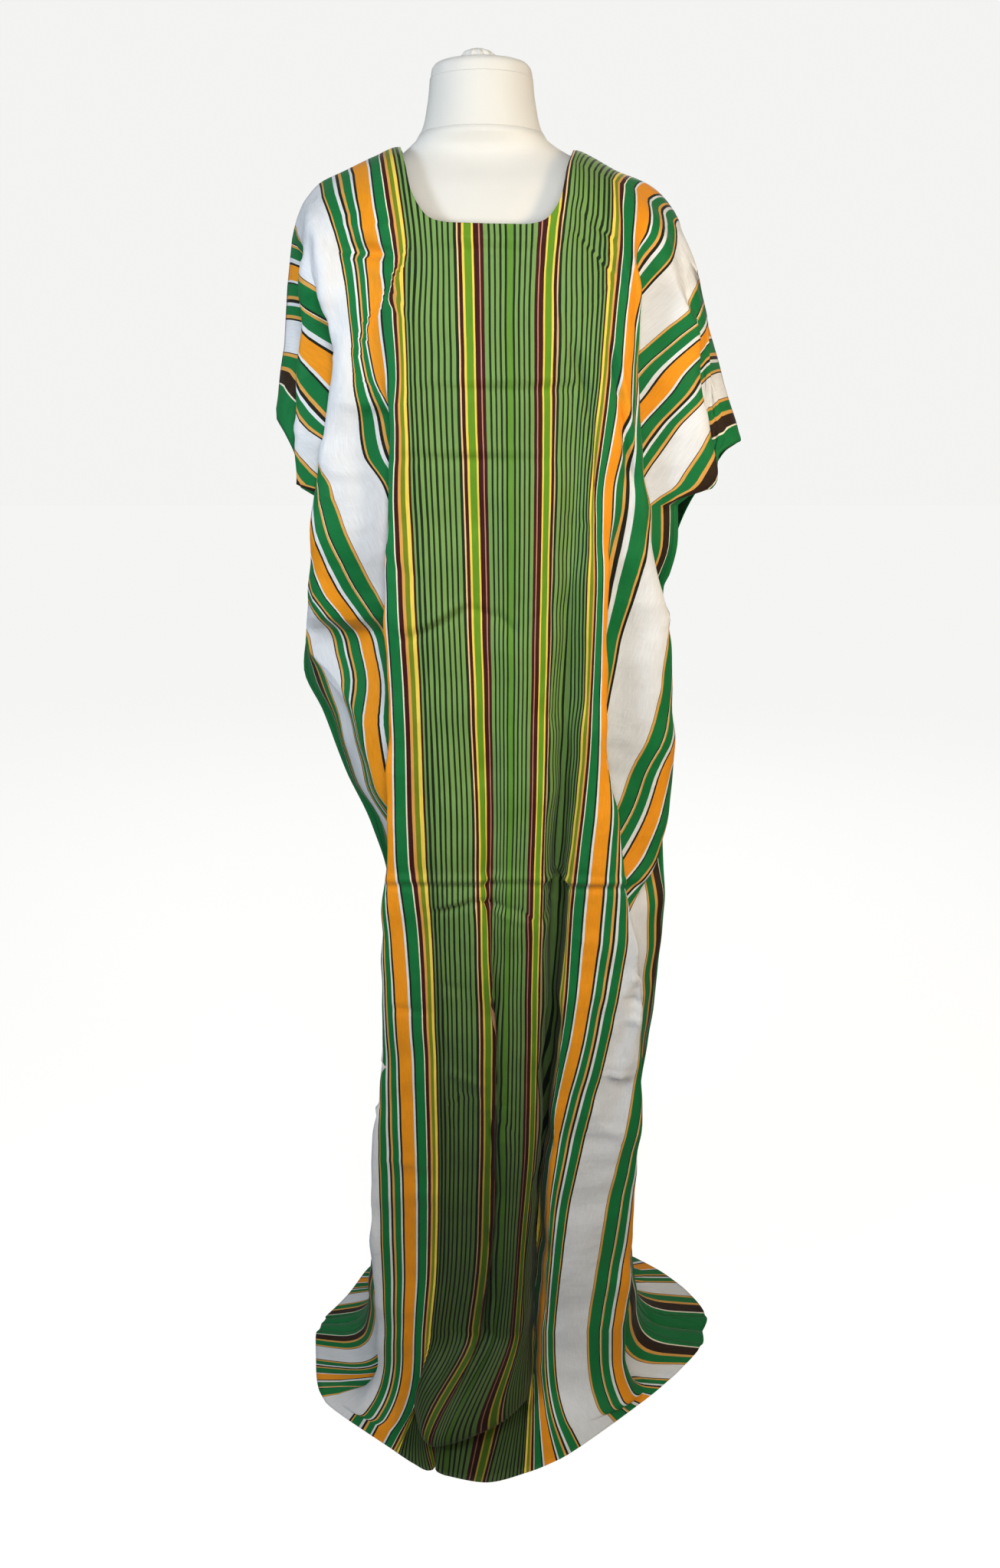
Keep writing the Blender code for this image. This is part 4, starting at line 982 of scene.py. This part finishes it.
def cloth_material(name, dim):
    """Printed cotton: stripes, uneven dye, painted shade down the cloth, weave and soft bumps. dim
    darkens the print.
    """
    look, tree, shader = new_material(name, 0.62)
    flat = tree.nodes.new("ShaderNodeUVMap")
    flat.uv_map = "flat_cloth"
    parts = tree.nodes.new("ShaderNodeSeparateXYZ")
    tree.links.new(flat.outputs[0], parts.inputs[0])
    noise = {key: noise_node(tree, stretched(tree, flat.outputs[0], across, down), 1.0, detail, rough)
             for key, (across, down, detail, rough) in NOISES.items()}

    def maths(kind, a, b):
        return math_node(tree, kind, a, b)

    across = maths("ADD", maths("MULTIPLY", parts.outputs[0], 1000.0),
                   maths("MULTIPLY", maths("SUBTRACT", noise["wander"], 0.5), WANDER))
    place = maths("ABSOLUTE", across, 0.0)
    shade = maths("ADD", maths("MULTIPLY", noise["dye"], DYE), maths("MULTIPLY", noise["patch"], PATCH))
    shade = maths("ADD", shade, EVEN * dim)
    # painted shade: the print is darkened down the cloth, most of all in the middle panel, for the shade
    # on the lower skirt
    for start, finish, left, panel_only in PAINTED_SHADE_DOWN:
        painted_shade_ramp = tree.nodes.new("ShaderNodeMapRange")
        painted_shade_ramp.interpolation_type = "SMOOTHSTEP"
        for k, value in enumerate((start, finish, 0.0, 1.0 - left), 1):
            painted_shade_ramp.inputs[k].default_value = value
        tree.links.new(parts.outputs[1], painted_shade_ramp.inputs[0])
        loss = painted_shade_ramp.outputs[0]
        if panel_only:
            loss = maths("MULTIPLY", loss, maths("LESS_THAN", place, PANEL))
        shade = maths("MULTIPLY", shade, maths("SUBTRACT", 1.0, loss))
    grey = tree.nodes.new("ShaderNodeCombineColor")
    for socket in grey.inputs:
        tree.links.new(shade, socket)
    toned = mix_node(tree, 1.0, stripe_ramps(tree, place), grey.outputs[0], "MULTIPLY")
    tree.links.new(toned, shader.inputs["Base Color"])
    facet = tree.nodes.new("ShaderNodeTexVoronoi")
    facet.inputs["Scale"].default_value = 1.0
    tree.links.new(stretched(tree, flat.outputs[0], *FACETS), facet.inputs["Vector"])
    height = maths("ADD", maths("MULTIPLY", noise["weave"], WEAVE_HIGH),
                   maths("MULTIPLY", noise["crumple"], CRUMPLE_HIGH))
    height = maths("ADD", height, maths("MULTIPLY", facet.outputs[0], FACET_HIGH))
    bump_node(tree, height, BUMP, 1.0, shader)
    shader.inputs["Sheen Weight"].default_value = 0.12
    shader.inputs["Specular IOR Level"].default_value = 0.28
    return look


front.data.materials.append(cloth_material("striped_cotton_front", 1.0))
back.data.materials.append(cloth_material("striped_cotton_back", 0.98))
print("ramps for the stripes:", math.ceil(len(STRIPES) / RAMP_STRIPES))

# %% [markdown]
# ## The dress form
#
# The form is a foam torso in an ivory jersey cover. The cover is cut off straight at the top of the neck
# and gathered into a small knob. It could be turned on a lathe, but a torso is wider than deep, so
# stacked level ellipses, joined by a smooth curve, make the shell.

# %% Ellipses of the form
# Dress form: height, half width, half depth, and how far its middle lies forward (-) or back (+) and
# to the left (-).
TORSO = (
    (790, 118, 62, 0, 0), (800, 130, 76, 0, 0), (860, 138, 84, 0, 0), (940, 128, 80, 0, 0),
    (1040, 112, 72, 0, 0), (1120, 108, 70, 0, 0), (1200, 118, 76, 0, 0), (1290, 132, 82, -2, 0),
    (1370, 142, 86, -3, 0), (1430, 152, 86, -3, 0), (1475, 162, 82, -3, 0), (1512, 160, 68, -2, 0),
    (1527.4, 146, 56, -2, 0), (1538.4, 119, 48, -2, 0), (1546, 93, 44, -2, -1), (1552, 83, 43, -3, -3),
    (1556, 76, 45, -3, -4), (1561, 69, 48, -4, -5), (1568, 64.5, 50, -4, -5),
)
NECK = (
    (1568.3, 64, 50, -4, -5), (1577, 60, 49, -4, -5), (1590, 57, 47.5, -4, -5), (1604, 54.5, 46, -4, -5),
    (1618, 53, 44, -4, -5),
)
CAP = (
    (1618.3, 52.6, 43.5, -4, -5), (1626, 51, 41.5, -4, -5), (1631, 47, 37, -4, -5),
    (1634, 38, 28, -4, -5), (1636, 24, 17, -4, -5),
)
KNOB = (
    (1636.3, 21, 14, -4, -7), (1640.5, 16, 13, -4, -8), (1643.5, 12, 10, -4, -9), (1645.5, 6, 5, -4, -9),
)
print(len(TORSO) + len(NECK) + len(CAP) + len(KNOB), "ellipses")

# %% Turn the form
FORM_RING = 96        # points in a ring
GATHERS = 13          # pleats around the knob
NECK_SEAT = 0.5       # each cover of the neck starts this far inside the one below


def form_shell(name, table, rows, ring=FORM_RING, gathers=0.0):
    """Closed smooth body through the level ellipses of a table, pleated by a share of its width."""
    levels = np.linspace(table[0][0], table[-1][0], rows)
    points = []
    for z in levels:
        half_x, half_y, forward, left = [float(column(table, k, z)) for k in (1, 2, 3, 4)]
        for k in range(ring):
            a = 2 * math.pi * k / ring
            gather = 1 + gathers * math.cos(GATHERS * a + 0.6 * math.sin(3 * a))
            points.append(((left + half_x * gather * math.cos(a)) * MM,
                           (forward + half_y * gather * math.sin(a)) * MM, z * MM))
    faces = []
    for r in range(rows - 1):
        for k in range(ring):
            n = (k + 1) % ring
            faces.append((r * ring + k, r * ring + n, (r + 1) * ring + n, (r + 1) * ring + k))
    faces.append(tuple(range(ring))[::-1])
    faces.append(tuple((rows - 1) * ring + k for k in range(ring)))
    body = plain_object(name, points, faces)
    for face in body.data.polygons:
        face.use_smooth = len(face.vertices) == 4
    return body


def seated(table):
    """The table with its lowest ellipse a little lower, inside the cover below."""
    return ((table[0][0] - NECK_SEAT,) + table[0][1:],) + table[1:]


torso = form_shell("torso_shell", TORSO, 120)
neck_piece = form_shell("neck_shell", seated(NECK), 40)
cap_piece = form_shell("neck_cap", seated(CAP), 24, gathers=0.004)
knob_piece = form_shell("cap_knob", seated(KNOB), 12, 104, gathers=0.07)
for piece, node in ((torso, "form_torso"), (neck_piece, "form_neck"), (cap_piece, "form_cap"),
                    (knob_piece, "form_knob")):
    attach(piece, "root")
    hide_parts(node)
print("form height", round(torso.dimensions.z, 3))

# %% [markdown]
# Jersey is a fine matt knit that yellows in clouds. Steel for the pole and the disc is brushed, and they
# are round already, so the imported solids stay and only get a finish. Noises in the space of the object
# are enough for both, as neither has a print that has to follow a cut.

# %% Jersey and steel
def two_tone(tree, value, dark, light, shader):
    """Colour that runs from dark to light with a noise."""
    tone = tree.nodes.new("ShaderNodeValToRGB")
    for stop, colour in zip(tone.color_ramp.elements, (dark, light)):
        stop.color = colour + (1.0,)
    tree.links.new(value, tone.inputs[0])
    tree.links.new(tone.outputs[0], shader.inputs["Base Color"])


jersey, jersey_tree, jersey_shader = new_material("ivory_jersey", 0.85)
spot = jersey_tree.nodes.new("ShaderNodeTexCoord").outputs["Object"]
cloud = noise_node(jersey_tree, spot, 9.0, 3.0)
two_tone(jersey_tree, cloud, (0.74, 0.73, 0.70), (0.84, 0.835, 0.815), jersey_shader)
bump_node(jersey_tree, noise_node(jersey_tree, spot, 700.0, 1.0), 0.3, 0.0004, jersey_shader)
jersey_shader.inputs["Sheen Weight"].default_value = 0.2
for piece in (torso, neck_piece, cap_piece, knob_piece):
    piece.data.materials.append(jersey)

steel, steel_tree, steel_shader = new_material("brushed_steel", 0.42)
steel_shader.inputs["Metallic"].default_value = 1.0
spot = steel_tree.nodes.new("ShaderNodeTexCoord").outputs["Object"]
grain = noise_node(steel_tree, stretched(steel_tree, spot, 40, 40), 12.0)
two_tone(steel_tree, grain, (0.36, 0.36, 0.37), (0.52, 0.52, 0.53), steel_shader)
for node in ("form_pole", "form_base"):
    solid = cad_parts[node]
    solid.data.materials.clear()
    solid.data.materials.append(steel)
print("finishes:", jersey.name, steel.name)
